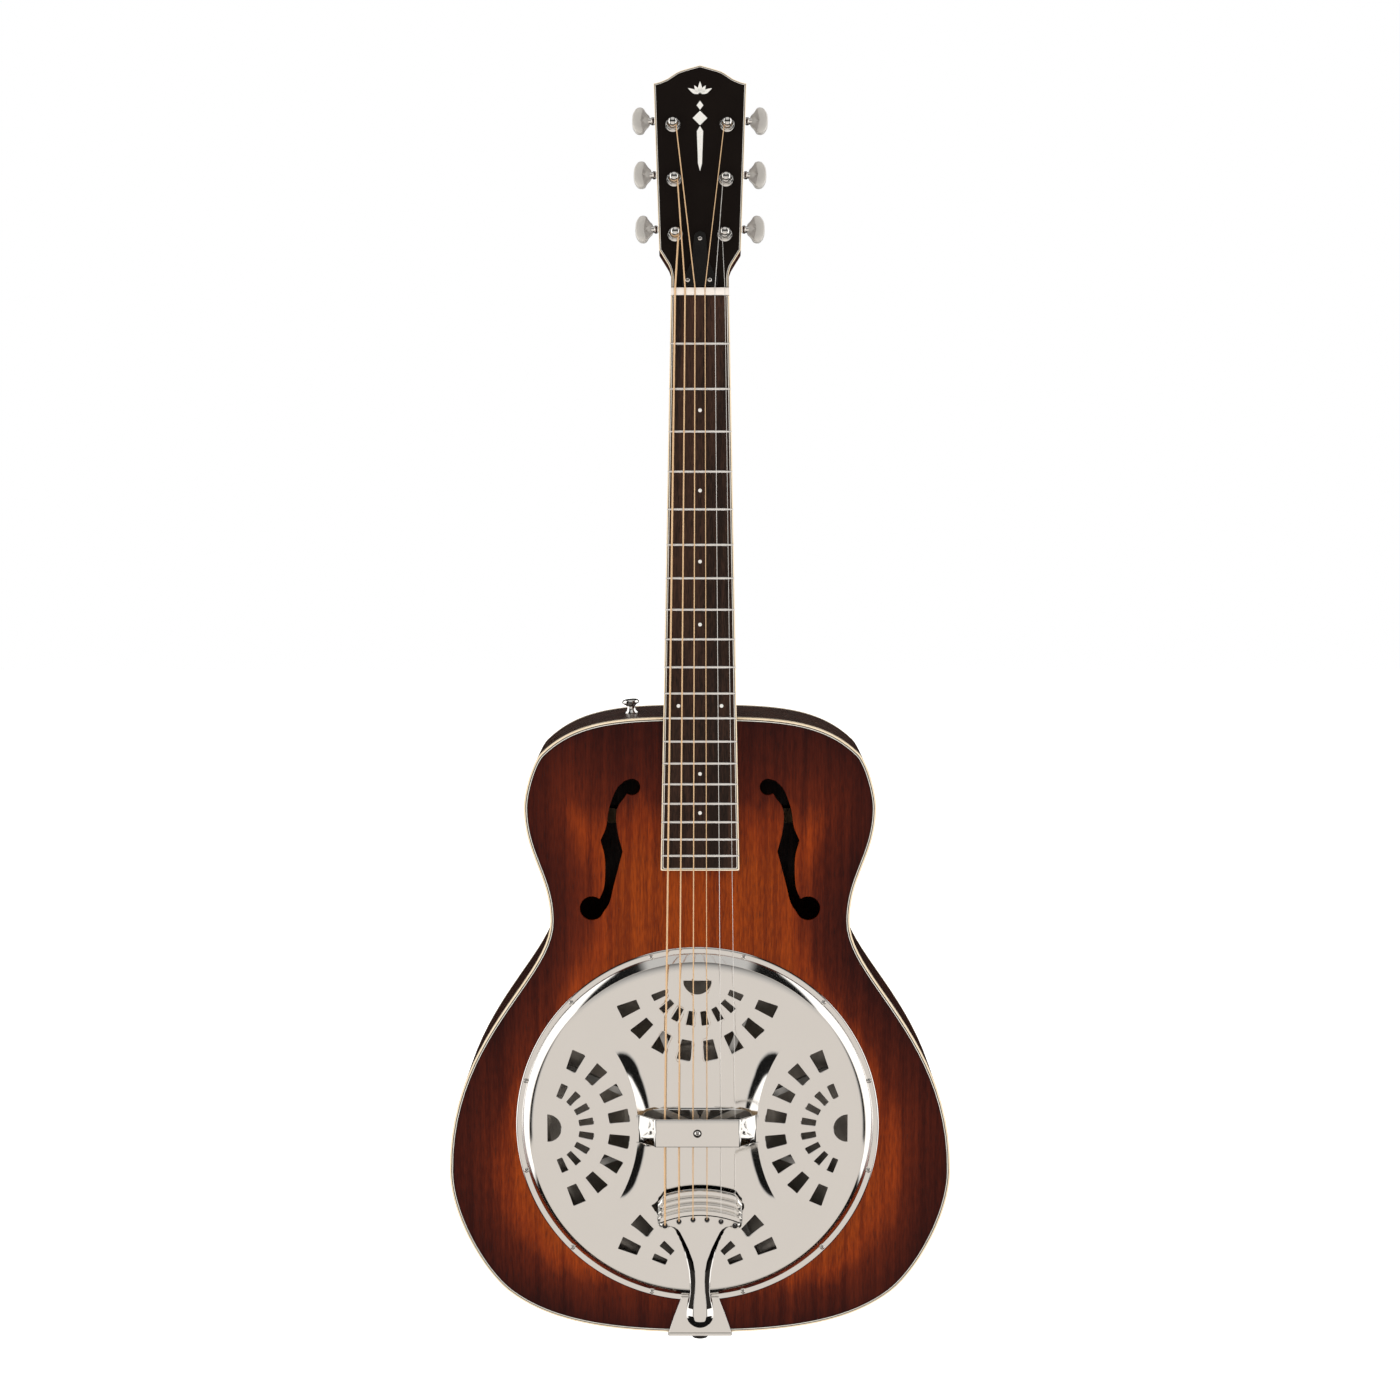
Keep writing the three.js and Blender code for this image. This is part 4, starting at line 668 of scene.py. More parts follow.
def burst_material():
    """The lacquered top: amber in the middle, through red-brown to nearly black at the edge."""
    c = colours()
    material, tree, shader = start_material("burst_top", specular=0.10)
    grain = use(tree, "Wood grain", Light=solid_colour(c.burst_middle),
                Dark=solid_colour(c.burst_middle_dark),
                Figure=0.36, Streaks=0.62, Pores=0.8, Fineness=1.0)
    edge = put(tree, "ShaderNodeAttribute", attribute_name="edge_distance").outputs["Fac"]
    place = put(tree, "ShaderNodeTexCoord").outputs["Object"]
    drift = noise(tree, {"Vector": place, "Scale": 9.0, "Detail": 2.0})
    streaky = put(tree, "ShaderNodeVectorMath", {0: place, 1: (120, 1, 3)}, operation="MULTIPLY").outputs[0]
    ragged = noise(tree, {"Vector": streaky, "Scale": 1.0, "Detail": 3.0})
    wander = maths(tree, "ADD", maths(tree, "MULTIPLY", maths(tree, "SUBTRACT", drift, 0.5), 0.026),
                   maths(tree, "MULTIPLY", maths(tree, "SUBTRACT", ragged, 0.5), 0.022))
    distance = maths(tree, "ADD", edge, wander)
    ramp = put(tree, "ShaderNodeValToRGB", {"Fac": remap(tree, distance, 0.0, sizes().burst_reach)})
    stops = ramp.color_ramp
    stops.elements[0].color = (0.11, 0.085, 0.75, 1)
    stops.elements[1].color = (1, 1, 1, 1)
    for where, shade in ((0.27, (0.22, 0.17, 0.9, 1)), (0.52, (0.36, 0.28, 0.95, 1)),
                         (0.72, (0.84, 0.72, 1, 1))):
        stops.elements.new(where).color = shade
    tinted = blend(tree, 1.0, grain["Colour"], ramp.outputs["Color"], "MULTIPLY")
    marks = use(tree, "Handling marks", Smears=0.5, Hairlines=0.35, Size=1.0)
    rough = maths(tree, "ADD", grain["Roughness"], marks["Roughness"])
    height = maths(tree, "ADD", grain["Height"], maths(tree, "MULTIPLY", marks["Height"], 0.3))
    connect(tree, shader, tinted, rough, 0.16, height, 0.16, 0.00012)
    return material


def stained_material(name, light, dark_share=0.3, roughness=0.2, specular=0.12, pores=0.8, figure=0.4,
                     fineness=1.0):
    material, tree, shader = start_material(name, specular=specular)
    dark = solid_colour([v * dark_share for v in light])
    grain = use(tree, "Wood grain", Light=solid_colour(light), Dark=dark, Figure=figure, Streaks=0.6,
                Pores=pores, Fineness=fineness)
    marks = use(tree, "Handling marks", Smears=0.6, Hairlines=0.3, Size=1.0)
    dust = use(tree, "Settled dust", Amount=0.10)["Mask"]
    tinted = blend(tree, dust, grain["Colour"], (0.45, 0.42, 0.38, 1))
    connect(tree, shader, tinted, maths(tree, "ADD", grain["Roughness"], marks["Roughness"]), roughness,
            grain["Height"], 0.18, 0.00014)
    return material


def aged_material(name, clean, aged, amount=0.5, scale=60.0, roughness=0.3, specular=0.5, coat=0.0,
                  bump=0.1, depth=0.0001):
    material, tree, shader = start_material(name, specular=specular, coat=coat)
    drift = use(tree, "Aged colour", Clean=solid_colour(clean), Aged=solid_colour(aged), Amount=amount,
                Scale=scale)
    marks = use(tree, "Handling marks", Smears=0.7, Hairlines=0.5, Size=1.0)
    connect(tree, shader, drift["Colour"], marks["Roughness"], roughness,
            maths(tree, "ADD", drift["Height"], maths(tree, "MULTIPLY", marks["Height"], 0.4)), bump, depth)
    return material


def metal_material(name, tint, roughness=0.08, smears=0.3, hairlines=0.3, tarnish=0.12, bump=0.02,
                   depth=0.00004,
                   metallic=1.0):
    material, tree, shader = start_material(name, metallic=metallic)
    marks = use(tree, "Handling marks", Smears=smears, Hairlines=hairlines, Size=1.0)
    drift = use(tree, "Aged colour", Clean=solid_colour(tint), Aged=solid_colour([v * 0.86 for v in tint]),
                Amount=tarnish, Scale=45.0)
    dust = use(tree, "Settled dust", Amount=0.06)["Mask"]
    tinted = blend(tree, dust, drift["Colour"], (0.5, 0.48, 0.45, 1))
    connect(tree, shader, tinted, maths(tree, "ADD", marks["Roughness"], dust), roughness,
            marks["Height"], bump, depth)
    return material


def spun_material():
    """Spun aluminium with turning lines round the cone's axis."""
    material, tree, shader = start_material("spun_aluminium", metallic=1.0)
    place = put(tree, "ShaderNodeTexCoord").outputs["Object"]
    centred = put(tree, "ShaderNodeVectorMath", {0: place, 1: tuple(-WELL.translation)},
                  operation="ADD").outputs[0]
    flat = put(tree, "ShaderNodeVectorMath", {0: centred, 1: (1, 0, 1)}, operation="MULTIPLY").outputs[0]
    away = put(tree, "ShaderNodeVectorMath", {0: flat}, operation="LENGTH").outputs["Value"]
    rings = put(tree, "ShaderNodeTexNoise", {"W": maths(tree, "MULTIPLY", away, 2600.0), "Scale": 1.0,
                                             "Detail": 3.0},
                noise_dimensions="1D").outputs["Fac"]
    drift = use(tree, "Aged colour", Clean=(0.62, 0.58, 0.53, 1), Aged=(0.40, 0.36, 0.32, 1), Amount=0.6,
                Scale=30.0)
    tint = blend(tree, maths(tree, "MULTIPLY", rings, 0.4), drift["Colour"], (0.30, 0.30, 0.29, 1))
    connect(tree, shader, tint, maths(tree, "MULTIPLY", rings, 0.25), 0.26, rings, 0.35, 0.00006)
    return material


def wound_material():
    """Bronze wire wound round the core; the windings run along the string."""
    material, tree, shader = start_material("wound_bronze", metallic=0.4)
    place = put(tree, "ShaderNodeTexCoord").outputs["Object"]
    wave = put(tree, "ShaderNodeTexWave", {"Vector": place, "Scale": 1100.0, "Distortion": 0.3,
                                           "Detail": 1.0},
               wave_type="BANDS", bands_direction="Z", wave_profile="SIN").outputs["Fac"]
    drift = use(tree, "Aged colour", Clean=solid_colour(colours().bronze), Aged=(0.66, 0.42, 0.22, 1),
                Amount=0.5, Scale=25.0)
    shade = blend(tree, maths(tree, "MULTIPLY", remap(tree, wave, 0.0, 0.45, 1.0, 0.0), 0.3),
                  drift["Colour"], (0.10, 0.05, 0.03, 1))
    connect(tree, shader, shade, maths(tree, "MULTIPLY", wave, 0.05), 0.24, wave, 0.4, 0.00008)
    return material


def pearl_material(name="pearl"):
    """Shell with soft bands of pink and green."""
    material, tree, shader = start_material(name, roughness=0.15, specular=0.6, coat=0.4)
    place = put(tree, "ShaderNodeTexCoord").outputs["Object"]
    cloud = put(tree, "ShaderNodeTexNoise", {"Vector": place, "Scale": 260.0, "Detail": 4.0,
                                             "Distortion": 2.0})
    band = put(tree, "ShaderNodeTexWave", {"Vector": cloud.outputs["Color"], "Scale": 2.6,
                                           "Distortion": 3.0,
                                           "Detail": 2.0}).outputs["Fac"]
    tint = blend(tree, band, (0.62, 0.66, 0.60, 1), (0.80, 0.72, 0.70, 1))
    marks = use(tree, "Handling marks", Smears=0.3, Hairlines=0.4, Size=1.0)
    connect(tree, shader, tint, marks["Roughness"], 0.14, band, 0.1, 0.00008)
    return material


def make_materials():
    c = colours()
    metal = tuple(c.plate_metal)
    MATERIALS.update({
        "burst": burst_material(),
        "mahogany": stained_material("stained_mahogany", tuple(c.side_stain)),
        "neck_wood": stained_material("neck_mahogany", tuple(v * 1.25 for v in c.side_stain),
                                      roughness=0.26),
        # bare spruce kept darker than clean spruce: partly the wood's own tone, partly painted shade for the
        # inside of the body
        "bare": stained_material("bare_spruce_with_painted_shade", (0.24, 0.15, 0.08), 0.62, 0.55, 0.2, 0.3, 0.3, 0.7),
        "maple": stained_material("bare_maple", (0.62, 0.45, 0.27), 0.72, 0.48, 0.3, 0.2, 0.3, 1.6),
        "cream": aged_material("cream_binding", tuple(c.cream),
                               tuple(v * f for v, f in zip(c.cream, (0.86, 0.78, 0.62))),
                               0.6, 40.0, 0.24, 0.35),
        "white_line": aged_material("white_line", (0.72, 0.68, 0.62), (0.58, 0.52, 0.44), 0.5, 90.0, 0.3,
                                    0.3),
        # black for the purfling lines, and also painted shade filling the screw slots, the palm rest recess and
        # the tuner post holes
        "black_line": aged_material("black_line", (0.010, 0.008, 0.007), (0.022, 0.016, 0.013), 0.5, 90.0,
                                    0.3, 0.3),
        "black_lacquer": aged_material("black_lacquer", (0.0065, 0.0048, 0.0042), (0.010, 0.0075, 0.006),
                                       0.5, 30.0, 0.08, 0.16, bump=0.03),
        # black plastic for the end pin, the truss cover and the felt, and also painted shade for the string ball
        # ends in their holes
        "black_plastic": aged_material("black_plastic", (0.008, 0.0075, 0.007), (0.014, 0.013, 0.012),
                                       0.5, 70.0, 0.16, 0.4, bump=0.05),
        "bone": aged_material("bone", (0.72, 0.66, 0.61), (0.62, 0.54, 0.46), 0.5, 130.0, 0.28, 0.35),
        "chrome": metal_material("chrome", metal, 0.045, 0.22, 0.25, 0.10),
        # painted dark reflection: a near-black chrome for the rolled edges of the tailpiece, standing in for the
        # dark surroundings that the real chrome mirrors there
        "black_chrome": metal_material("black_chrome", (0.02, 0.018, 0.016), 0.12, 0.2, 0.2, 0.08),
        "plate_chrome": metal_material("plate_chrome", metal, 0.07, 0.25, 0.2, 0.08),
        "fret_wire": metal_material("fret_wire", (0.74, 0.70, 0.66), 0.16, 0.4, 0.6, 0.3, 0.06,
                                    metallic=0.4),
        "tool_steel": metal_material("tool_steel", (0.50, 0.49, 0.47), 0.30, 0.6, 0.6, 0.5, 0.15, 0.0001),
        "wire": metal_material("plain_wire", (0.74, 0.71, 0.67), 0.14, 0.3, 0.3, 0.3, metallic=0.4),
        "cast_metal": metal_material("cast_alloy", (0.56, 0.56, 0.55), 0.36, 0.5, 0.2, 0.6, 0.25, 0.00025),
        "spun": spun_material(),
        "wound": wound_material(),
        "pearl": pearl_material(),
        "button_metal": metal_material("button_metal", (0.60, 0.575, 0.535), 0.3, 0.2, 0.15, 0.06, 0.0008,
                                       metallic=0.35),
    })
    rosewood, tree, shader = start_material("rosewood", specular=0.12)
    grain = use(tree, "Wood grain", Light=solid_colour(c.rosewood), Dark=solid_colour(c.rosewood_dark),
                Figure=0.75, Streaks=0.5, Pores=1.0, Fineness=1.5)
    marks = use(tree, "Handling marks", Smears=0.7, Hairlines=0.3, Size=1.0)
    connect(tree, shader, grain["Colour"], maths(tree, "ADD", grain["Roughness"], marks["Roughness"]), 0.34,
            grain["Height"], 0.35, 0.0002)
    MATERIALS["rosewood"] = rosewood


# ------------------------------------------------------------------ body
def edge_distances(points, loop):
    """Distance in metres from each point to the nearest side of a loop."""
    a = np.array(loop, float)
    b = np.roll(a, -1, 0)
    best = np.full(len(points), 1e9)
    for p, q in zip(a, b):
        d = q - p
        t = np.clip(((points - p) @ d) / max(d @ d, 1e-12), 0, 1)
        best = np.minimum(best, np.linalg.norm(points - (p + t[:, None] * d), axis=1))
    return best * MM


def make_top():
    """The stained top with its sound holes, and a value that says how far in each point lies."""
    thickness, grid = 3.0, 5.5
    line_width = sizes().purfling_line / MM
    start = sizes().binding_width / MM + 3 * line_width
    rim = body_outline(start)
    well = circle(0, (WELL_Z - SHOULDER.translation.z) / MM, 134, 96)
    holes = [well, f_hole(-1), f_hole(1)]
    spots = []
    for row in range(int(BODY_LENGTH / grid) + 1):
        for col in range(-int(BODY_WIDTH / grid / 2) - 1, int(BODY_WIDTH / grid / 2) + 2):
            spots.append(((col + 0.5 * (row % 2)) * grid, -row * grid * 0.94))
    spots = np.array(spots)
    keep = inside(spots, inset_loop(rim, 2.0))
    for hole in holes:
        keep &= ~inside(spots, hole)
        keep &= edge_distances(spots, hole) > 0.0018
    spots = spots[keep]
    xz, triangles = fill([rim, *holes], spots)
    count = len(xz)
    points = [(x, 0.0, z) for x, z in xz] + [(x, thickness, z) for x, z in xz]
    faces = [tuple(t) for t in triangles] + [tuple(i + count for i in reversed(t)) for t in triangles]
    edges = {(t[k], t[(k + 1) % 3]) for t in triangles for k in range(3)}
    faces += [(a, a + count, b + count, b) for a, b in edges if (b, a) not in edges]
    top = make_piece("burst_top", points, faces, "burst", SHOULDER, slot="sunburst_top",
                     stands_for=["top_plate"])
    mesh = top.data
    co = np.array([v.co for v in mesh.vertices], float)
    flat = np.stack([co[:, 0] / MM, (co[:, 2] - SHOULDER.translation.z) / MM], 1)
    values = np.minimum(edge_distances(flat, body_outline(0)), -0.5 * MM * flat[:, 1]).astype(np.float32)
    mesh.attributes.new("edge_distance", "FLOAT", "POINT").data.foreach_set("value", values)
    soften(top, 0.35, 2, 60)


def make_edging():
    """Cream binding with a rounded edge, and three thin lines let into the top inside it."""
    wide = sizes().binding_width / MM
    line = sizes().purfling_line / MM
    deep = TOP_BINDING_DEPTH
    layers = [("top_edge_binding", 0.0, wide, "cream", 0.0, deep, ["top_binding"])]
    for k, shade in enumerate(("black_line", "white_line", "black_line")):
        start = wide + k * line
        layers.append((f"top_purfling_{k + 1}", start, start + line, shade, -0.02, 1.2, []))
    layers.append(("back_edge_binding", 0.0, 2.2, "cream", BODY_DEPTH - deep, BODY_DEPTH, ["back_binding"]))
    for name, outer, inner, shade, front, back, nodes in layers:
        ring = prism([body_outline(outer), body_outline(inner)], front, back)
        piece = make_piece(name, *ring, shade, SHOULDER, slot="binding", stands_for=nodes, sharp=50)
        if nodes:
            soften(piece, 0.7, 3, 60)
    for k, (front, shade) in enumerate(((deep, "black_line"), (deep + 0.6, "white_line"))):
        ring = prism([body_outline(0.0), body_outline(1.6)], front, front + 0.6)
        make_piece(f"side_line_front_{k + 1}", *ring, shade, SHOULDER, slot="binding", sharp=50)
        ring = prism([body_outline(0.0), body_outline(1.6)], BODY_DEPTH - front - 0.6, BODY_DEPTH - front)
        make_piece(f"side_line_back_{k + 1}", *ring, shade, SHOULDER, slot="binding", sharp=50)


def make_sides_and_back():
    rim = prism([body_outline(0.0), body_outline(2.2)], TOP_BINDING_DEPTH + 1.2,
                BODY_DEPTH - TOP_BINDING_DEPTH - 1.2)
    make_piece("bent_sides", *rim, "mahogany", SHOULDER, slot="mahogany", stands_for=["side_rim"], sharp=50)
    back = prism([body_outline(2.3)], BODY_DEPTH - 2.8, BODY_DEPTH - 0.05)
    make_piece("stained_back", *back, "mahogany", SHOULDER, slot="mahogany", stands_for=["back_plate"])
    strip = prism([[(-2.2, -6), (2.2, -6), (2.2, -BODY_LENGTH + 6), (-2.2, -BODY_LENGTH + 6)]],
                  BODY_DEPTH - 0.6, BODY_DEPTH)
    make_piece("back_strip", *strip, "cream", SHOULDER, slot="binding")


def finish_inside():
    """The pieces inside the body keep their own shape and get their finish."""
    inner = {
        # The inside pieces in bare spruce are darkened: partly the wood's own tone, partly painted shade inside
        # the body.
        "bare": ["top_lining_bass", "top_lining_treble", "back_lining_bass", "back_lining_treble",
                 "neck_block",
                 "tail_block", "back_brace_upper", "back_brace_lower", "soundwell"],
        "maple": ["saddle_bass", "saddle_treble"],
        "cast_metal": ["spider_bridge"],
        "tool_steel": ["truss_rod"],
    }
    for finish, names in inner.items():
        for name in names:
            node = frame["nodes"][name]
            node.data.materials.clear()
            node.data.materials.append(MATERIALS[finish])
            if name != "spider_bridge":
                soften(node, 0.4, 2, 40)


def make_cone():
    """The spun cone: a wide flat rim, a valley and a peak in the middle."""
    low, high = box_in("resonator_cone", WELL)
    rim, sheet, edge = low[1], 0.8, high[0]
    profile = [(2.7, rim + 5), (14, rim + 6), (20, rim + 8.5), (36, rim + 16), (52, rim + 23.2),
               (58, rim + 24),
               (64, rim + 23.4), (80, rim + 16.2), (98, rim + 8.4), (114, rim + 1.9), (119, rim + 0.2),
               (122, rim),
               (edge, rim)]
    fine = smooth_line(profile, 4) + [profile[-1]]
    back = [(r, y + sheet) for r, y in reversed(fine)]
    cone = lathe([*fine, *back, fine[0]], 128)
    make_piece("spun_cone", *cone, "spun", WELL, slot="spun_aluminium", stands_for=["resonator_cone"])


def make_tension_screw():
    """The spider's slotted screw, with a domed head."""
    low, high = box_in("tension_screw", WELL)
    front, back = low[1], high[1]
    head = lathe([(0, front), (1.6, front + 0.15), (2.6, front + 0.7), (2.95, front + 1.4),
                  (2.95, front + 2.4),
                  (2, front + 2.6), (2, back - 0.6), (1.5, back), (0, back)], 40)
    painted_slot_shade = brick((-2.9, front - 0.02, -0.42), (2.9, front + 0.5, 0.42))
    make_piece("tension_screw_body", *head, "tool_steel", WELL, "spider_screw", "steel", ["tension_screw"])
    # The black bar in the head's slot is painted shade in the slot.
    make_piece("tension_screw_slot", *painted_slot_shade, "black_line", WELL, "spider_screw")


# ------------------------------------------------------------------ cover plate
FAN_CENTRE = 119.4
FAN_ANGLES = (-66.5, -47.5, -28.5, -9.5, 9.5, 28.5, 47.5, 66.5)
FAN_RINGS = ((32.4, 11.5, 5.6, 4.7), (58.4, 16.0, 10.7, 8.0))
HALF_MOON_RADIUS = 11.0
FLANGE_DEPTH = 1.2
STEP_OUTER = 4.4
STEP_INNER = 10.4
STEP_WALL = 0.9
STEP_ROLL = 5.2
GROOVE = 0.7
DOME_SHOULDER = 2.2
CREASE_CENTRE = 162.0
CREASE_RADIUS = 115.5
COVE_WIDTH = 19.0
OPENING = (43.5, 14.0)


def crease_distance(x, z):
    """Distance from the nearer crease towards the trough between the two side domes."""
    return np.minimum(np.hypot(x - CREASE_CENTRE, z), np.hypot(x + CREASE_CENTRE, z)) - CREASE_RADIUS


def cover_height(x, z):
    """Height of the plate over the top: flange, rolled step, groove, and the dome with its trough."""
    radius = np.hypot(x, z)
    outer, inner = PLATE_RADIUS - STEP_OUTER, PLATE_RADIUS - STEP_INNER
    wall = STEP_WALL * np.clip((outer - radius) / 0.45, 0, 1)
    up = np.clip((outer - 0.45 - radius) / (outer - 0.45 - inner), 0, 1)
    roll = STEP_ROLL * (1.12 * up - 0.12 * up**2)
    drop = GROOVE * np.clip((inner - radius) / 0.25, 0, 1)
    within = np.clip(inner - 0.25 - radius, 0, None)
    shoulder = DOME_SHOULDER * (1 - np.exp(-within / 7.0))
    share = np.where(radius < inner, 1 - (radius / inner) ** 2, 0)
    dome = sizes().dome_rise / MM * share
    t = np.clip(crease_distance(x, z) / COVE_WIDTH, 0, 1)
    deep = sizes().trough_depth / MM * (1 - smoothstep(62, 120, radius))
    lip = 0.6 * smoothstep(PLATE_RADIUS - 0.7, PLATE_RADIUS, radius)
    return FLANGE_DEPTH + wall + roll - drop + shoulder + dome - deep * (1 - (1 - t) ** 2) - lip


def round_corners(corners, radius, steps=4):
    """A polygon with its corners rounded."""
    out = []
    count = len(corners)
    for i in range(count):
        before, here, after = (np.array(corners[j % count], float) for j in (i - 1, i, i + 1))
        start = here + (before - here) / np.linalg.norm(before - here) * radius
        end = here + (after - here) / np.linalg.norm(after - here) * radius
        for k in range(steps + 1):
            t = k / steps
            out.append(tuple(start * (1 - t) ** 2 + 2 * here * t * (1 - t) + end * t * t))
    return out


def fan_slots(turn, hidden=()):
    """The slots of one fan: two rings about a point near the rim, and a half moon there."""
    c, s = math.cos(math.radians(turn)), math.sin(math.radians(turn))

    def spin(points):
        return [(x * c - z * s, x * s + z * c) for x, z in points]

    loops = []
    for ring, (radius, long, outer, inner) in enumerate(FAN_RINGS):
        for angle in FAN_ANGLES:
            if (ring, abs(angle)) in hidden:
                continue
            a = math.radians(angle)
            corners = []
            for half, along in ((-inner / 2, radius - long / 2), (inner / 2, radius - long / 2),
                                (outer / 2, radius + long / 2), (-outer / 2, radius + long / 2)):
                corners.append((FAN_CENTRE - along * math.cos(a) - half * math.sin(a),
                                -along * math.sin(a) + half * math.cos(a)))
            loops.append(spin(round_corners(corners, 0.7, 3)))
    if "moon" not in hidden:
        moon = [(FAN_CENTRE - 1.4 + HALF_MOON_RADIUS * math.cos(a), HALF_MOON_RADIUS * math.sin(a))
                for a in (math.pi / 2 + math.pi * k / 20 for k in range(21))]
        loops.append(spin(moon))
    return loops


def plate_loops():
    half, high = OPENING
    palm = round_corners([(-half, -high), (half, -high), (half, high), (-half, high)], 8, 6)
    loops = []
    for turn in (0, 90, 180):
        loops += fan_slots(turn)
    loops += fan_slots(270, hidden={(0, 9.5), (0, 28.5), (1, 9.5), "moon"})
    return loops + [palm]


def make_cover_plate():
    """The pressed sheet, with its points set closer along the folds."""
    slots = plate_loops()
    rim = circle(0, 0, PLATE_RADIUS, 360)
    outer, inner = PLATE_RADIUS - STEP_OUTER, PLATE_RADIUS - STEP_INNER
    ring_radii = [PLATE_RADIUS - 0.35, PLATE_RADIUS - 0.75, PLATE_RADIUS - 2.4, outer + 0.12, outer,
                  outer - 0.2,
                  outer - 0.45, *np.linspace(outer - 0.9, inner + 0.3, 9), inner, inner - 0.12,
                  inner - 0.25,
                  inner - 0.9, inner - 1.9, inner - 3.2, inner - 4.8]
    rings = [p for radius in ring_radii for p in circle(0, 0, radius, 360)]
    arcs = []
    for side in (-1, 1):
        for away in (-0.9, -0.12, 0.0, 0.12, 0.7, *np.arange(1.5, COVE_WIDTH + 1.5, 1.1)):
            for angle in np.arange(-56, 56.1, 0.8):
                a = math.radians(angle)
                radius = CREASE_RADIUS + away
                arcs.append((side * (CREASE_CENTRE - radius * math.cos(a)), radius * math.sin(a)))
    grid = 2.3
    reach = int(PLATE_RADIUS / grid) + 1
    spots = [((i + 0.5 * (j % 2)) * grid, j * grid * 0.866) for j in range(-reach - 14, reach + 15)
             for i in range(-reach, reach + 1)]
    spots, arcs, rings = np.array(spots), np.array(arcs), np.array(rings)
    near = crease_distance(spots[:, 0], spots[:, 1])
    far = np.hypot(spots[:, 0], spots[:, 1])
    spots = spots[(far < inner - 5.8) & ((near < -1.8) | (near > COVE_WIDTH + 1.6) | (far > 112))]
    arcs = arcs[np.hypot(arcs[:, 0], arcs[:, 1]) < 112]
    extra = np.concatenate([spots, arcs, rings])
    collars = [inset_loop(loop, -0.35) for loop in slots]
    keep = np.ones(len(extra), bool)
    for loop in slots:
        low, high = np.min(loop, 0) - 2, np.max(loop, 0) + 2
        near = np.all((extra > low) & (extra < high), 1)
        close = np.where(near)[0]
        if len(close):
            blocked = inside(extra[close], loop) | (edge_distances(extra[close], loop) < 0.0008)
            keep[close[blocked]] = False
    extra = np.concatenate([extra[keep], *[np.array(c) for c in collars]])
    xz, triangles = fill([rim, *slots], extra)
    height = cover_height(xz[:, 0], xz[:, 1])
    lips = np.concatenate([np.array(loop) for loop in slots])
    lip_points = {(round(x, 3), round(z, 3)) for x, z in lips}
    for i, (x, z) in enumerate(xz):
        if (round(x, 3), round(z, 3)) in lip_points:
            height[i] -= 0.16
    sheet = sizes().plate_sheet / MM
    count = len(xz)
    points = [(x, -h, z) for (x, z), h in zip(xz, height)] + [(x, -h + sheet, z) for (x, z),
                                                              h in zip(xz, height)]
    faces = [tuple(t) for t in triangles] + [tuple(i + count for i in reversed(t)) for t in triangles]
    edges = {(t[k], t[(k + 1) % 3]) for t in triangles for k in range(3)}
    faces += [(a, a + count, b + count, b) for a, b in edges if (b, a) not in edges]
    make_piece("cover_plate_sheet", points, faces, "plate_chrome", PLATE, slot="chrome",
               stands_for=["cover_plate"], sharp=40)


def round_screw(radius, height, slot_turn=0.3):
    """A domed screw head that faces -y, and the bars that fill its cross slot, which are given a black finish as
    painted shade where they are used.
    """
    head = lathe([(0, -height), (radius * 0.35, -height * 0.97), (radius * 0.7, -height * 0.78),
                  (radius * 0.92, -height * 0.42), (radius, -0.1), (radius, 0.6), (0, 0.6)], 28)
    bars = []
    for extra in (0.0, math.pi / 2):
        turn = Matrix.Rotation(slot_turn + extra, 3, "Y")
        bar = brick((-radius * 0.52, -height - 0.03, -radius * 0.1),
                    (radius * 0.52, -height * 0.6, radius * 0.1))
        bars.append(shifted(bar, turn=turn))
    return head, merge(*bars)


def make_plate_screws():
    heads, bars = [], []
    for k in range(12):
        a = math.radians(15 + 30 * k)
        head, bar = round_screw(1.9, 1.15, 0.5 + 1.1 * k)
        for solid, group in ((head, heads), (bar, bars)):
            group.append(shifted(solid, 139.9 * math.cos(a), -FLANGE_DEPTH - 0.2, 139.9 * math.sin(a)))
    make_piece("cover_screws", *merge(*heads), "chrome", PLATE, slot="chrome")
    # The slot bars are black: painted shade in the cross slots.
    make_piece("cover_screw_slots", *merge(*bars), "black_line", PLATE)


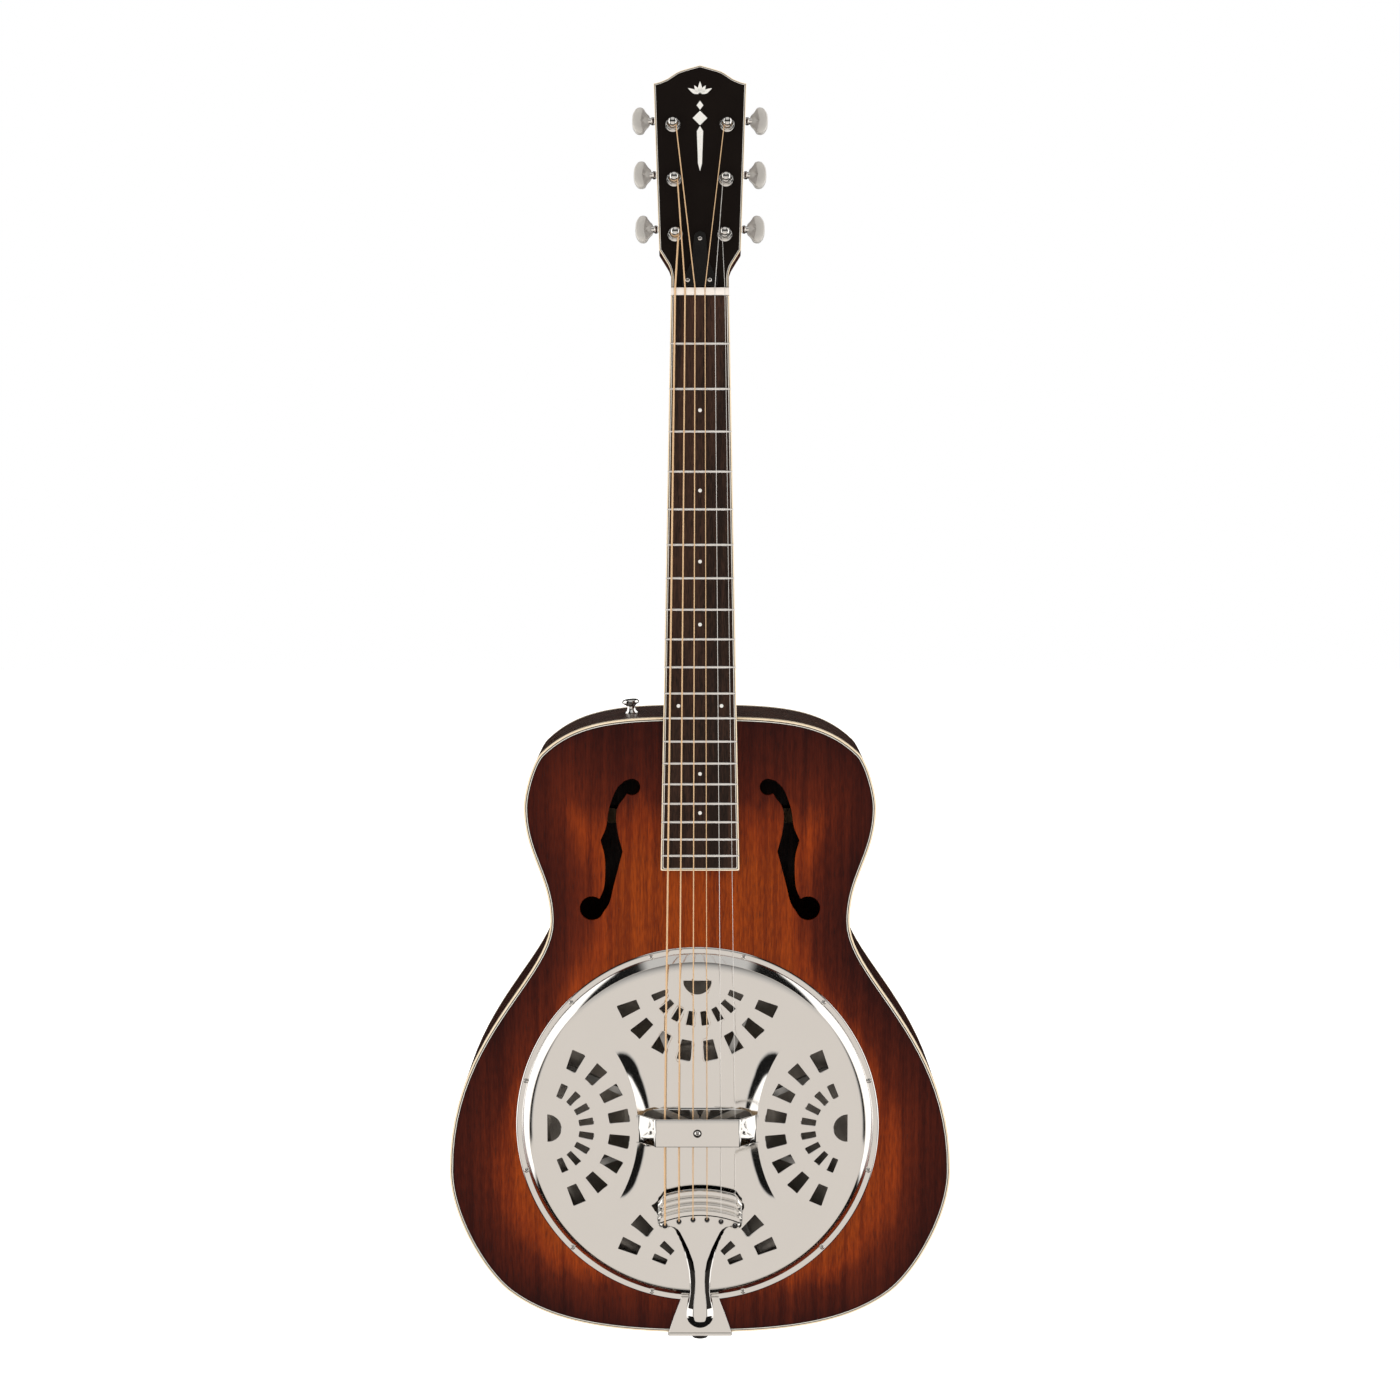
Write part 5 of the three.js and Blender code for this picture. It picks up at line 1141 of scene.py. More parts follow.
def make_palm_rest():
    """The bent strap over the strings: flat in the middle, sloping to two feet."""
    low, high = box_in("palm_rest", PLATE)
    wide, crest = high[2] - low[2], low[1] + 2.2
    half, sheet = (high[0] - low[0]) / 2, 1.3
    foot = -float(cover_height(np.array([half - 2.5]), np.array([0.0]))[0])
    line = [(0, crest), (31.4, crest), (32.6, crest + 0.15), (33.4, crest + 0.8), (34.2, crest + 2.0),
            (44.4, foot - 2.2), (45.6, foot - 1.2), (46.8, foot - 0.9), (half, foot - 0.9)]
    path = [(-x, y) for x, y in reversed(line)] + line[1:]
    across = [(-0.5, 0.9), (-0.488, 0.3), (-0.465, 0.0), (0.465, 0.0), (0.488, 0.3), (0.5, 0.9)]
    rings = []
    for i, (x, y) in enumerate(path):
        a, b = path[max(i - 1, 0)], path[min(i + 1, len(path) - 1)]
        ahead = Vector((b[0] - a[0], b[1] - a[1])).normalized()
        normal = Vector((-ahead.y, ahead.x))
        if normal.y < 0:
            normal = -normal
        front = [(x + normal.x * d, y + normal.y * d, z * wide) for z, d in across]
        back = [(x + normal.x * (d * 0.5 + sheet), y + normal.y * (d * 0.5 + sheet), z * wide * 0.95)
                for z, d in reversed(across)]
        rings.append(front + back)
    make_piece("palm_rest_strap", *loft(rings), "chrome", PLATE, slot="chrome", stands_for=["palm_rest"],
               sharp=45)
    head, bar = round_screw(2.5, 2.2, 0.2)
    make_piece("palm_rest_screw", *shifted(head, 0, crest + 0.1, 0), "chrome", PLATE, slot="chrome")
    # A black disc round the screw head and black bars in its slot: painted shade in the recess and the slot.
    recess = lathe([(0, -0.06), (3.3, -0.06), (3.4, 0.1), (3.4, 1.0), (0, 1.0)], 40)
    make_piece("palm_rest_recess", *shifted(recess, 0, crest, 0), "black_line", PLATE)
    make_piece("palm_rest_screw_slot", *shifted(bar, 0, crest + 0.1, 0), "black_line", PLATE)

# ------------------------------------------------------------------ tailpiece
TAIL_TOP = 372.2
TAIL_BAR_LENGTH = 21.4
TAIL_HALF = 33.0
TAIL_FRONT = -15.5
TAIL_PLATE_FRONT = -12.4
TAIL_WAIST_DROP = 449.2
TAIL_BULB_RADIUS = 10.6
TAIL_BULB_DROP = 475.5


def tail_top(x):
    return TAIL_TOP + x * x / 182 + 4.4 * float(smoothstep(27.5, TAIL_HALF, abs(x)))


def tail_low(x):
    return TAIL_TOP + TAIL_BAR_LENGTH + x * x / 160


def hole_drop(x):
    return tail_low(x) + 3.0


def make_string_bar():
    """The grooved bar that the strings pass over: an arc, with rolled ribs across it."""
    ribs = [(0.00, 2.8), (0.012, 1.2), (0.035, 0.25)]
    for groove, deep in ((0.20, 0.9), (0.285, 0.7), (0.44, 1.0), (0.52, 0.6), (0.66, 0.9), (0.75, 0.6)):
        ribs += [(groove - 0.045, 0.05), (groove, deep + 0.3), (groove + 0.012, deep + 0.3),
                 (groove + 0.03, 0.05)]
    ribs += [(0.90, 0.1), (0.96, 0.5), (0.985, 1.3), (1.0, 2.8)]
    rings = []
    for k in range(41):
        x = TAIL_HALF * (k / 20 - 1)
        fall = 1.6 * smoothstep(0.90, 1.0, abs(x) / TAIL_HALF)
        top, low = tail_top(x), tail_low(x)
        front = [(x, TAIL_FRONT + deep + fall, -(top + (low - top) * share)) for share, deep in ribs]
        back = [(x, TAIL_PLATE_FRONT + 1.8, -low), (x, TAIL_PLATE_FRONT + 1.8, -top)]
        rings.append(front + back)
    return loft(rings)


def tail_widths(drop):
    """Half width of the tailpiece below the bar, and of the flat along its middle."""
    low = tail_low(TAIL_HALF)
    knots = [(low - 9, 32.4, 30.0), (low - 3, 32.6, 30.0), (low + 0.6, 31.0, 27.0), (low + 2.4, 24.5, 20.0),
             (low + 4.5, 20.8, 17.0), (low + 7, 19.2, 15.2), (low + 11, 17.0, 13.2), (low + 20, 13.3, 8.8),
             (low + 29, 10.8, 5.2), (low + 38, 8.9, 3.6), (low + 47, 8.0, 3.4), (low + 56, 7.9, 3.8),
             (low + 62, 8.7, 4.4), (low + 67, 9.8, 4.8), (TAIL_BULB_DROP - 3, 10.5, 4.8),
             (TAIL_BULB_DROP, 10.6, 4.8)]
    drops = [k[0] for k in knots]
    if drop > TAIL_BULB_DROP:
        half = math.sqrt(max(TAIL_BULB_RADIUS**2 - (drop - TAIL_BULB_DROP) ** 2, 0.01))
        return half, half * 0.4
    return (float(np.interp(drop, drops, [k[1] for k in knots])),
            float(np.interp(drop, drops, [k[2] for k in knots])))


def tail_front(x, drop):
    """Depth of the front of the plate at a place on it: its edges roll back."""
    half, flat = tail_widths(drop)
    swell = float(smoothstep(tail_low(TAIL_HALF) + 12, TAIL_WAIST_DROP, drop))
    if drop > TAIL_BULB_DROP:
        bend = float(np.clip((math.hypot(x, drop - TAIL_BULB_DROP) - 4.0) / (TAIL_BULB_RADIUS - 4.0), 0, 1))
        roll = 4.8
    else:
        bend = float(np.clip((abs(x) - flat) / (half - flat), 0, 1))
        roll = min(0.85 * (half - flat), 3.6 + float(smoothstep(TAIL_BULB_DROP - 14, TAIL_BULB_DROP, drop)))
    return TAIL_PLATE_FRONT - 1.7 * swell + roll * bend**1.3


def make_tail_plate():
    """The pressed plate below the bar; its edges roll back, and it narrows to a round bulb."""
    low = tail_low(TAIL_HALF)
    bulb = TAIL_BULB_DROP
    drops = [*np.arange(low - 9, low + 12, 0.5), *np.arange(low + 12, bulb, 1.0),
             *(bulb + TAIL_BULB_RADIUS * math.sin(math.pi / 2 * k / 18) for k in range(19))]
    rings = []
    for drop in drops:
        half, flat = tail_widths(drop)
        front, back = [], []
        right = [0, flat / 2] + [flat + (half - flat) * k / 10 for k in range(11)]
        for x in [-x for x in reversed(right[1:])] + right:
            y = tail_front(x, drop)
            front.append((x, y, -drop))
            back.append((x * 0.985, y + 1.2, -drop))
        rings.append(front + back[::-1])
    return loft(rings)


def make_tailpiece():
    bar = make_string_bar()
    plate = make_tail_plate()
    ears = []
    for side in (-1, 1):
        ear = lathe([(0, 0), (1.8, 0), (2.6, 0.5), (3.8, 1.8), (4.9, 3.3), (5.4, 4.6), (0, 4.6)], 40)
        ears.append(shifted(ear, side * 27.8, TAIL_PLATE_FRONT - 0.05, -hole_drop(27.6) + 0.4))
    make_piece("tailpiece_bar", *bar, "chrome", SHOULDER, slot="chrome", stands_for=["tailpiece"], sharp=50)
    make_piece("tailpiece_shank", *plate, "chrome", SHOULDER, slot="chrome", sharp=50)
    # Dark strips laid just over the rolled edges of the shank: painted dark reflection, in place of the dark
    # surroundings that the real chrome mirrors in these edges
    for name, sign in (("bass", -1), ("treble", 1)):
        rings = []
        for drop in np.arange(tail_low(TAIL_HALF) - 1, TAIL_BULB_DROP - 6, 1.0):
            half, flat = tail_widths(drop)
            wide = half - flat
            rings.append([(sign * (flat + wide * share), tail_front(flat + wide * share, drop) + y, -drop)
                          for share, y in ((0.12, -0.08), (0.4, -0.1), (0.66, -0.1), (0.86, -0.08),
                                           (0.86, 0.3), (0.12, 0.3))])
        make_piece(f"tailpiece_roll_painted_reflection_{name}", *loft(rings), "black_chrome", SHOULDER, slot="chrome")
    make_piece("tailpiece_ears", *merge(*ears), "chrome", SHOULDER, slot="chrome", sharp=50)
    balls, cups = [], []
    for k in range(6):
        x = bridge_x(k)
        drop = hole_drop(x)
        cup = lathe([(2.75, -0.1), (2.65, -0.6), (2.4, -0.6), (2.3, -0.1), (2.3, 2.2), (2.75, 2.2),
                     (2.75, -0.1)], 32)
        cups.append(shifted(cup, x, TAIL_PLATE_FRONT, -drop))
        ball = lathe([(0, 0.2), (1.9, 0.2), (2.25, 0.5), (2.25, 2.0), (0, 2.0)], 24)
        balls.append(shifted(ball, x, TAIL_PLATE_FRONT - 0.35, -drop))
    make_piece("string_cups", *merge(*cups), "chrome", SHOULDER, slot="chrome")
    # The ball ends are black: painted shade in the string holes.
    make_piece("string_ball_ends", *merge(*balls), "black_plastic", SHOULDER, slot="bronze")


def make_bracket():
    """The plate that is screwed round the foot of the body."""
    leaf_front = -3.0
    low = BODY_LENGTH
    edge = smooth_line([(25.3, -low + 0.4), (24.4, -low + 3), (22.6, -low + 8.5), (20.0, -low + 16),
                        (17.4, -low + 23), (15.4, -low + 28.2)], 5) + [(14.9, -low + 30.2)]
    leaf = prism([mirrored(edge)], leaf_front, leaf_front + 1.5)
    end = prism([round_corners([(-25.5, -62), (25.5, -62), (25.5, -leaf_front), (-25.5, -leaf_front)], 2,
                               4)],
                0.3, 1.8)
    turn = Matrix(((1, 0, 0), (0, 0, -1), (0, -1, 0)))
    end = shifted(end, 0, 0, -low, turn=turn)
    piece = make_piece("bracket_leaf", *leaf, "chrome", SHOULDER, slot="chrome",
                       stands_for=["tailpiece_bracket"])
    soften(piece, 0.45, 3)
    piece = make_piece("bracket_foot", *end, "chrome", SHOULDER, slot="chrome")
    soften(piece, 0.45, 3)
    fold = sweep([(-25.4, leaf_front + 1.65, -low - 0.25), (25.4, leaf_front + 1.65, -low - 0.25)], 1.6, 24)
    make_piece("bracket_fold", *fold, "chrome", SHOULDER, slot="chrome")
    screws = []
    tip = Matrix.Rotation(math.radians(90), 3, "X")
    for x in (-16, 16):
        for y in (24, 50):
            head, _ = round_screw(3.2, 1.1)
            screws.append(shifted(head, x, y, -low - 1.8, turn=tip))
    make_piece("bracket_screws", *merge(*screws), "chrome", SHOULDER, slot="chrome")


def make_strap_hardware():
    low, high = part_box("end_pin")
    place = upright((low.x + high.x) / 2, (low.y + high.y) / 2, low.z)
    radius = (high.x - low.x) / 2 / MM
    seat = (rim_low.z - low.z) / MM - 2.1
    pin = lathe([(0, 3.6), (radius - 2.2, 3.6), (radius - 0.8, 4.1), (radius, 5.2), (radius - 0.1, 7.2),
                 (radius - 0.9, 8.3), (5.0, 9.8), (4.6, 11.2), (4.6, seat - 5), (5.2, seat - 2.6),
                 (radius - 0.7, seat - 1.0), (radius - 0.5, seat), (4, seat), (4, seat + 24),
                 (0, seat + 26)],
                64, "z")
    make_piece("end_pin_knob", *pin, "black_plastic", place, slot="black_plastic", stands_for=["end_pin"])
    face = mount("strap_button_face")
    out = Vector(face["axis"]).normalized()
    turn = out.to_track_quat("Z", "Y").to_matrix().to_4x4()
    place = Matrix.Translation(Vector(face["pos_m"])) @ turn
    r = 6.8
    button = lathe([(0, 0), (r - 2.6, 0), (r - 1.2, -0.35), (r - 0.25, -1.4), (r, -2.5), (r - 0.5, -3.3),
                    (4.6, -4.2), (3.5, -5.2), (3.3, -7.0), (3.9, -8.6), (5.2, -9.8), (5.5, -10.7),
                    (2, -10.7), (2, -19), (0, -21)], 48, "z")
    make_piece("strap_button_knob", *button, "chrome", place, slot="chrome", stands_for=["strap_button"])
    washer = lathe([(2.3, -10.6), (6.6, -10.6), (6.6, -10.95), (2.3, -10.95), (2.3, -10.6)], 40, "z")
    make_piece("strap_button_felt", *washer, "black_plastic", place)


# ------------------------------------------------------------------ neck and fretboard
NECK_STATIONS = ((-20, 11, 0.95), (-10, 13.5, 0.88), (0, 15, 0.80), (30, 15, 0.80), (140, 16.4, 0.82),
                 (250, 18, 0.85), (275, 19, 0.9), (288, 26, 0.96), (298, 38, 1.02), (307, 54, 1.08),
                 (315, 72, 1.1), (321, 83, 1.1))


def make_neck():
    """The carved neck: a half round that deepens to the heel, and the headstock's slab."""
    back = BOARD_DEPTH + 0.05
    distances = np.array([s[0] for s in NECK_STATIONS], float)
    fine = np.array([p[0] for p in smooth_line([(s[0], 0) for s in NECK_STATIONS],
                                               5)] + [NECK_STATIONS[-1][0]])
    deep = np.array([p[1] for p in smooth_line([(s[0], s[1]) for s in NECK_STATIONS],
                                               5)] + [NECK_STATIONS[-1][1]])
    joint_distance = 321.2
    rings = []
    steps = 28
    for d, depth in zip(fine, deep):
        full = float(np.interp(d, distances, [s[2] for s in NECK_STATIONS]))
        half = board_half(max(d, 0)) - 0.15
        if d > 270:
            half -= 5.0 * float(smoothstep(284, 321, d))
        ring = []
        for k in range(steps + 1):
            a = math.pi * k / steps
            c, s = math.cos(a), math.sin(a)
            face = back + 0.3 * max(-d, 0)
            ring.append((half * math.copysign(abs(c) ** full, c), face + depth * s**full,
                         -min(d, joint_distance)))
        rings.append(ring)
    neck = make_piece("neck_shaft", *loft(rings), "neck_wood", NECK, slot="mahogany", stands_for=["neck"],
                      sharp=40)
    soften(neck, 0.5, 2, 50)
    slab = prism([head_outline(-7)], 1.55, 15)
    head = make_piece("headstock_wood", *slab, "neck_wood", HEAD, slot="mahogany")
    soften(head, 0.9, 3, 50)
    cap = prism([round_corners([(-17, -1), (17, -1), (10, 1.2), (-10, 1.2)], 0.6, 3)], 7, 20)
    make_piece("heel_cap_line", *shifted(cap, 0, 0, 0.4), "neck_wood", SHOULDER, slot="mahogany")


def ribbon(path, start, end):
    """The closed strip between two offsets of an open path that runs anticlockwise."""
    p = np.array(path, float)
    ahead = np.gradient(p, axis=0)
    ahead /= np.linalg.norm(ahead, axis=1)[:, None]
    inwards = np.stack([-ahead[:, 1], ahead[:, 0]], 1)
    inwards[0] = inwards[0] / abs(inwards[0][0])
    inwards[-1] = inwards[-1] / abs(inwards[-1][0])
    return [tuple(q) for q in p + inwards * start] + [tuple(q) for q in (p + inwards * end)[::-1]]


def make_headstock_face():
    outer = head_outline(VENEER_FOOT)
    rings = [("head_edge_binding", 0.0, 0.55, "cream"), ("head_edge_black", 0.55, 1.05, "black_line"),
             ("head_edge_white", 1.05, 1.4, "white_line")]
    for name, start, end, shade in rings:
        strip = prism([ribbon(outer, start, end)], 0.0, 1.5)
        make_piece(name, *strip, shade, HEAD, slot="binding", sharp=50)
    holes = []
    for side, row in TUNERS:
        low, high = box_in(f"tuner_post_{side}_{row}", HEAD)
        holes.append(circle((low[0] + high[0]) / 2, (low[2] + high[2]) / 2, 4.3, 24))
    inner = ribbon(outer, 1.4, 2.0)[:len(outer)]
    pocket = [(-6, 4), (6, 4), (6, 30), (4, 32), (-4, 32), (-6, 30)]
    face = prism([inner, pocket, *holes], 0.0, 1.5)
    make_piece("headstock_face", *face, "black_lacquer", HEAD, slot="black_lacquer",
               stands_for=["headstock_veneer"])


def leaf_shape(width, height, foot, belly=0.35):
    """A pointed leaf that stands on a point."""
    half = [(0, foot), (width * 0.5, foot + height * belly), (width * 0.30, foot + height * 0.72),
            (0, foot + height)]
    return mirrored(smooth_line(half, 6) + [half[-1]])


def make_head_ornaments():
    """Plain shell ornaments: a stack of diamonds on a stem, and a small star of leaves."""
    shapes = [
        [(0, 92), (1.5, 98), (2.4, 124), (0, 128), (-2.4, 124), (-1.5, 98)],
        [(0, 128.6), (5.6, 134.4), (0, 140.2), (-5.6, 134.4)],
        [(0, 141), (2.6, 144.6), (0, 148.2), (-2.6, 144.6)],
    ]
    for k in range(5):
        angle = math.radians(-60 + 30 * k)
        leaf = leaf_shape(3.2, 9.5 if k % 2 == 0 else 7.5, 1.2)
        c, s = math.cos(angle), math.sin(angle)
        shapes.append([(x * c + z * s, -x * s + z * c + 153) for x, z in leaf])
    solids = [prism([loop], -0.06, 0.6) for loop in shapes]
    make_piece("head_inlay", *merge(*solids), "pearl", HEAD, slot="bone")


def make_truss_cover():
    low, high = box_in("truss_rod_cover", HEAD)
    half, top, foot = (high[0] - low[0]) / 2, high[2], low[2]
    side = smooth_line([(half, foot + 7), (half - 2.4, foot + 9.6), (9.2, foot + 13.2), (6.6, foot + 20),
                        (5.4, foot + 30), (4.6, foot + 38)], 5)
    loop = mirrored([(half - 0.6, foot), (half, foot + 0.6)] + side
                    + smooth_line([(4.5, foot + 39), (3.4, top - 1.6), (0, top)], 4) + [(0, top)])
    cover = make_piece("truss_cover_plate", *prism([loop], low[1], high[1] + 0.25), "black_plastic", HEAD,
                       slot="black_plastic", stands_for=["truss_rod_cover"])
    soften(cover, 0.45, 3)
    heads, bars = [], []
    for x, z in ((-9.4, foot + 4.4), (7.4, foot + 4.6), (0, top - 6)):
        head, bar = round_screw(1.75, 0.95, 0.4 + x)
        heads.append(shifted(head, x, low[1], z))
        bars.append(shifted(bar, x, low[1], z))
    make_piece("truss_cover_screws", *merge(*heads), "chrome", HEAD, slot="chrome")
    # The slot bars are black: painted shade in the cross slots.
    make_piece("truss_cover_screw_slots", *merge(*bars), "black_line", HEAD)
    low, high = box_in("truss_nut", NECK)
    axis_y = (low[1] + high[1]) / 2
    ring = lathe([(2.0, high[2]), (3.3, high[2]), (3.6, high[2] - 0.5), (3.6, high[2] - 10),
                  (1.5, high[2] - 10.4),
                  (1.5, low[2]), (0, low[2]), (0, high[2] - 5), (2.0, high[2] - 5), (2.0, high[2])], 6, "z")
    make_piece("truss_adjusting_nut", *shifted(ring, 0, axis_y, 0), "tool_steel", NECK, "truss_adjuster",
               "steel", ["truss_nut"], sharp=20)


def string_x(k, distance):
    """Sideways place of a string, lowest first, at a distance from the nut."""
    nut, bridge = -18.9 + 7.56 * k, bridge_x(k)
    return nut + (bridge - nut) * distance / SCALE


def bridge_x(k):
    return -27.6 + 11.04 * k


SCALE = 643.0
STRING_WIDTHS = (1.42, 1.14, 0.89, 0.66, 0.43, 0.33)


def make_nut():
    """The bone nut, rounded on top with a groove for each string."""
    half, back = NUT_WIDTH / 2, NUT_HIGH[1]
    crest = -1.95
    top = [(-half, crest + 0.9), (-half + 0.8, crest + 0.1)]
    for k, wide in enumerate(STRING_WIDTHS):
        x = string_x(k, 0)
        top += [(x - wide * 0.62, crest), (x - wide * 0.5, -1.72), (x, -1.66), (x + wide * 0.5, -1.72),
                (x + wide * 0.62, crest)]
    top += [(half - 0.8, crest + 0.1), (half, crest + 0.9)]
    section = [*top, (half, back), (-half, back)]
    low, high = NUT_LOW[2], NUT_HIGH[2]
    rings = []
    for z, fall in ((low, 0.25), (low + 0.5, 0.0), (low + 2.6, 0.0), (high - 1.4, 0.25), (high - 0.4, 0.8),
                    (high, 1.3)):
        rings.append([(x, min(y + fall, 1.0) if y < 0 else y, z) for x, y in section])
    make_piece("bone_nut", *loft(rings), "bone", NECK, slot="bone", stands_for=["nut"], sharp=40)


def fret_distance(number):
    return SCALE * (1 - 2 ** (-number / 12))


def board_loop(inset):
    """The fretboard's outline moved inwards, with slightly round corners at its end."""
    end = BOARD_LENGTH - inset
    wide, narrow = board_half(end) - inset, board_half(0) - inset
    low = round_corners([(-narrow, 0), (-wide, -end), (wide, -end), (narrow, 0)], 1.4, 4)
    return low


def make_fretboard():
    lines = [("board_edge_binding", 0.0, 0.95, "cream", ["fretboard_binding"]),
             ("board_black_line", 0.95, 1.5, "black_line", []),
             ("board_white_line", 1.5, 1.95, "white_line", [])]
    for name, outer, inner, shade, nodes in lines:
        ring = prism([board_loop(outer), board_loop(inner)], 0.0, BOARD_DEPTH)
        piece = make_piece(name, *ring, shade, NECK, slot="binding", stands_for=nodes, sharp=50)
        if nodes:
            soften(piece, 0.35, 2, 60)
    board = prism([board_loop(1.95)], 0.0, BOARD_DEPTH)
    make_piece("rosewood_board", *board, "rosewood", NECK, slot="rosewood", stands_for=["fretboard"])
    node = frame["nodes"]["fretboard_wedge"]
    node.data.materials.clear()
    node.data.materials.append(MATERIALS["mahogany"])


def make_frets():
    wide, high = sizes().fret_width / MM, sizes().fret_height / MM
    solids = []
    for number in range(1, 20):
        d = fret_distance(number)
        half = board_half(d) - 0.05
        rings = []
        for k in range(9):
            x = half * (k / 4 - 1)
            end = 0.45 * abs(k / 4 - 1) ** 12
            arc = [(-math.cos(math.pi * j / 10) * wide / 2 * (1 - end),
                    -math.sin(math.pi * j / 10) * high * (1 - end))
                   for j in range(11)]
            rings.append([(x, y, -d + z) for z, y in arc] + [(x, 0.4, -d + wide / 2),
                                                             (x, 0.4, -d - wide / 2)])
        solids.append(loft(rings))
    make_piece("fret_crowns", *merge(*solids), "fret_wire", NECK, slot="fret_wire", stands_for=["frets"],
               sharp=60)


def make_position_dots():
    radius = sizes().inlay_radius / MM
    dots = []
    for fret, places in ((3, (0,)), (5, (0,)), (7, (0,)), (9, (0,)), (12, (-16.6, 16.6)), (15, (0,)),
                         (17, (0,))):
        middle = (fret_distance(fret - 1) + fret_distance(fret)) / 2
        for x in places:
            disc = lathe([(0, -0.04), (radius - 0.1, -0.04), (radius, 0.02), (radius, 1.0), (0, 1.0)], 32)
            dots.append(shifted(disc, x, 0, -middle))
    make_piece("position_dots", *merge(*dots), "pearl", NECK, slot="bone")


# ------------------------------------------------------------------ tuners
def hexagon(radius, front, back):
    """A hexagonal nut with a round hole, round an axis along y; its corners are bevelled where it is used."""
    outer = [(radius * math.cos(math.pi * k / 3), radius * math.sin(math.pi * k / 3)) for k in range(6)]
    return prism([outer, circle(0, 0, 3.3, 24)], front, back)


def make_tuner_housing(side, row):
    name = f"{side}_{row}"
    place = post_place(side, row)
    low, high = box_in(f"tuner_housing_{name}", place)
    inward = -1 if side == "treble" else 1
    nut = make_piece(f"tuner_nut_{name}", *hexagon(5.2, -3.4, -0.5), "chrome", place, slot="chrome",
                     stands_for=[f"tuner_housing_{name}"])
    soften(nut, 0.45, 3)
    washer = lathe([(3.4, -0.5), (5.3, -0.5), (5.6, -0.3), (5.6, 0.0), (3.4, 0.0), (3.4, -0.5)], 40)
    make_piece(f"tuner_washer_{name}", *washer, "chrome", place, slot="chrome", sharp=50)
    back, deep = 15.1, high[1]
    shell = prism([round_corners([(low[0], low[2]), (high[0], low[2]), (high[0], high[2]), (low[0], high[2])],
                                 4, 6)], back, deep)
    housing = make_piece(f"tuner_case_{name}", *shell, "chrome", place, slot="chrome")
    soften(housing, 1.6, 4, 50)
    ear = prism([circle(inward * 3.2, low[2] - 2.0, 3.4, 28)], back, back + 2.2)
    lug = make_piece(f"tuner_lug_{name}", *ear, "chrome", place, slot="chrome")
    soften(lug, 0.5, 2, 50)
    flip = Matrix.Rotation(math.pi, 3, "X")
    head, bar = round_screw(1.7, 1.0, 0.7)
    screw = [shifted(s, inward * 3.2, back + 2.2, low[2] - 2.0, turn=flip) for s in (head, bar)]
    make_piece(f"tuner_lug_screw_{name}", *screw[0], "chrome", place, slot="chrome")


def make_tuner_post(side, row):
    """A post with a domed cap and a waist for the string; a black rod through it is painted shade for the string
    hole.
    """
    name = f"{side}_{row}"
    place = post_place(side, row)
    low, high = box_in(f"tuner_post_{name}", place)
    front = low[1]
    post = lathe([(0, front), (1.6, front + 0.08), (2.6, front + 0.5), (3.2, front + 1.2),
                  (3.4, front + 2.2),
                  (3.1, front + 2.9), (2.2, front + 3.4), (1.9, front + 4.4), (2.0, front + 5.9),
                  (2.8, front + 6.3),
                  (3.0, front + 6.7), (3.0, high[1] - 3), (0, high[1] - 3)], 48)
    piece = make_piece(f"tuner_post_cap_{name}", *post, "chrome", place, f"post_{name}", "chrome",
                       [f"tuner_post_{name}"])
    # The string hole is not cut: a black rod through the post is painted shade for it.
    hole = lathe([(0, -2.12), (0.7, -2.12), (0.7, 2.12), (0, 2.12)], 20, "x")
    make_piece(f"tuner_post_hole_{name}", *shifted(hole, 0, front + 3.9, 0), "black_line", place,
               f"post_{name}")
    return piece


def knob_outline():
    """The edge of a tuner button: a broad oval with shallow scallops that runs in to its stem."""
    right = [(-7.6, 0.0), (-7.4, 2.2), (-6.6, 4.2), (-5.0, 5.8), (-3.6, 7.6), (-2.2, 9.8), (0.2, 10.7),
             (2.8, 10.1),
             (4.7, 8.0), (6.0, 5.2), (6.4, 2.2), (6.5, 0.0)]
    half = smooth_line(right, 4) + [right[-1]]
    return half + [(x, -z) for x, z in reversed(half[1:-1])]


def make_tuner_button(side, row):
    name = f"{side}_{row}"
    node = f"tuner_button_{name}"
    low, high = box_in(node, HEAD)
    sign = 1 if side == "treble" else -1
    place = HEAD @ Matrix.Translation((0, (low[1] + high[1]) / 2 * MM, (low[2] + high[2]) / 2 * MM))
    tip = high[0] if sign > 0 else low[0]
    centre = tip - sign * 6.5
    rings = []
    edge = knob_outline()
    for share, y in ((0.02, -3.15), (0.5, -3.1), (0.86, -2.9), (0.95, -2.45), (0.99, -1.5), (1.0, 0.0),
                     (0.99, 1.5), (0.95, 2.45), (0.86, 2.9), (0.5, 3.1), (0.02, 3.15)):
        rings.append([(centre + sign * x * share, y * (0.5 + 0.5 * min(1, (x + 8) / 6)), z * share)
                      for x, z in edge])
    knob = make_piece(f"tuner_knob_{name}", *loft(rings), "button_metal", place, f"button_{name}", "chrome",
                      [node], sharp=70)
    inner = low[0] if sign > 0 else high[0]
    collar = abs(centre) - 7.0 - abs(inner)
    profile = [(0, 0), (2.0, 0), (2.0, collar - 4.2), (2.7, collar - 3.8), (3.1, collar - 3.0),
               (3.1, collar - 1.6),
               (2.5, collar - 1.2), (2.4, collar + 1.0), (0, collar + 1.4)]
    shaft = lathe(profile, 32, "x")
    mirror = Matrix.Diagonal((sign, 1, 1))
    make_piece(f"tuner_shaft_{name}", *shifted(shaft, inner, 0, 0, turn=mirror), "chrome", place,
               f"button_{name}", "chrome")
    return knob


# ------------------------------------------------------------------ strings
STRING_POSTS = (("bass", 1), ("bass", 2), ("bass", 3), ("treble", 3), ("treble", 2), ("treble", 1))
LIFT_NUT = 1.7
LIFT_BRIDGE = 5.5


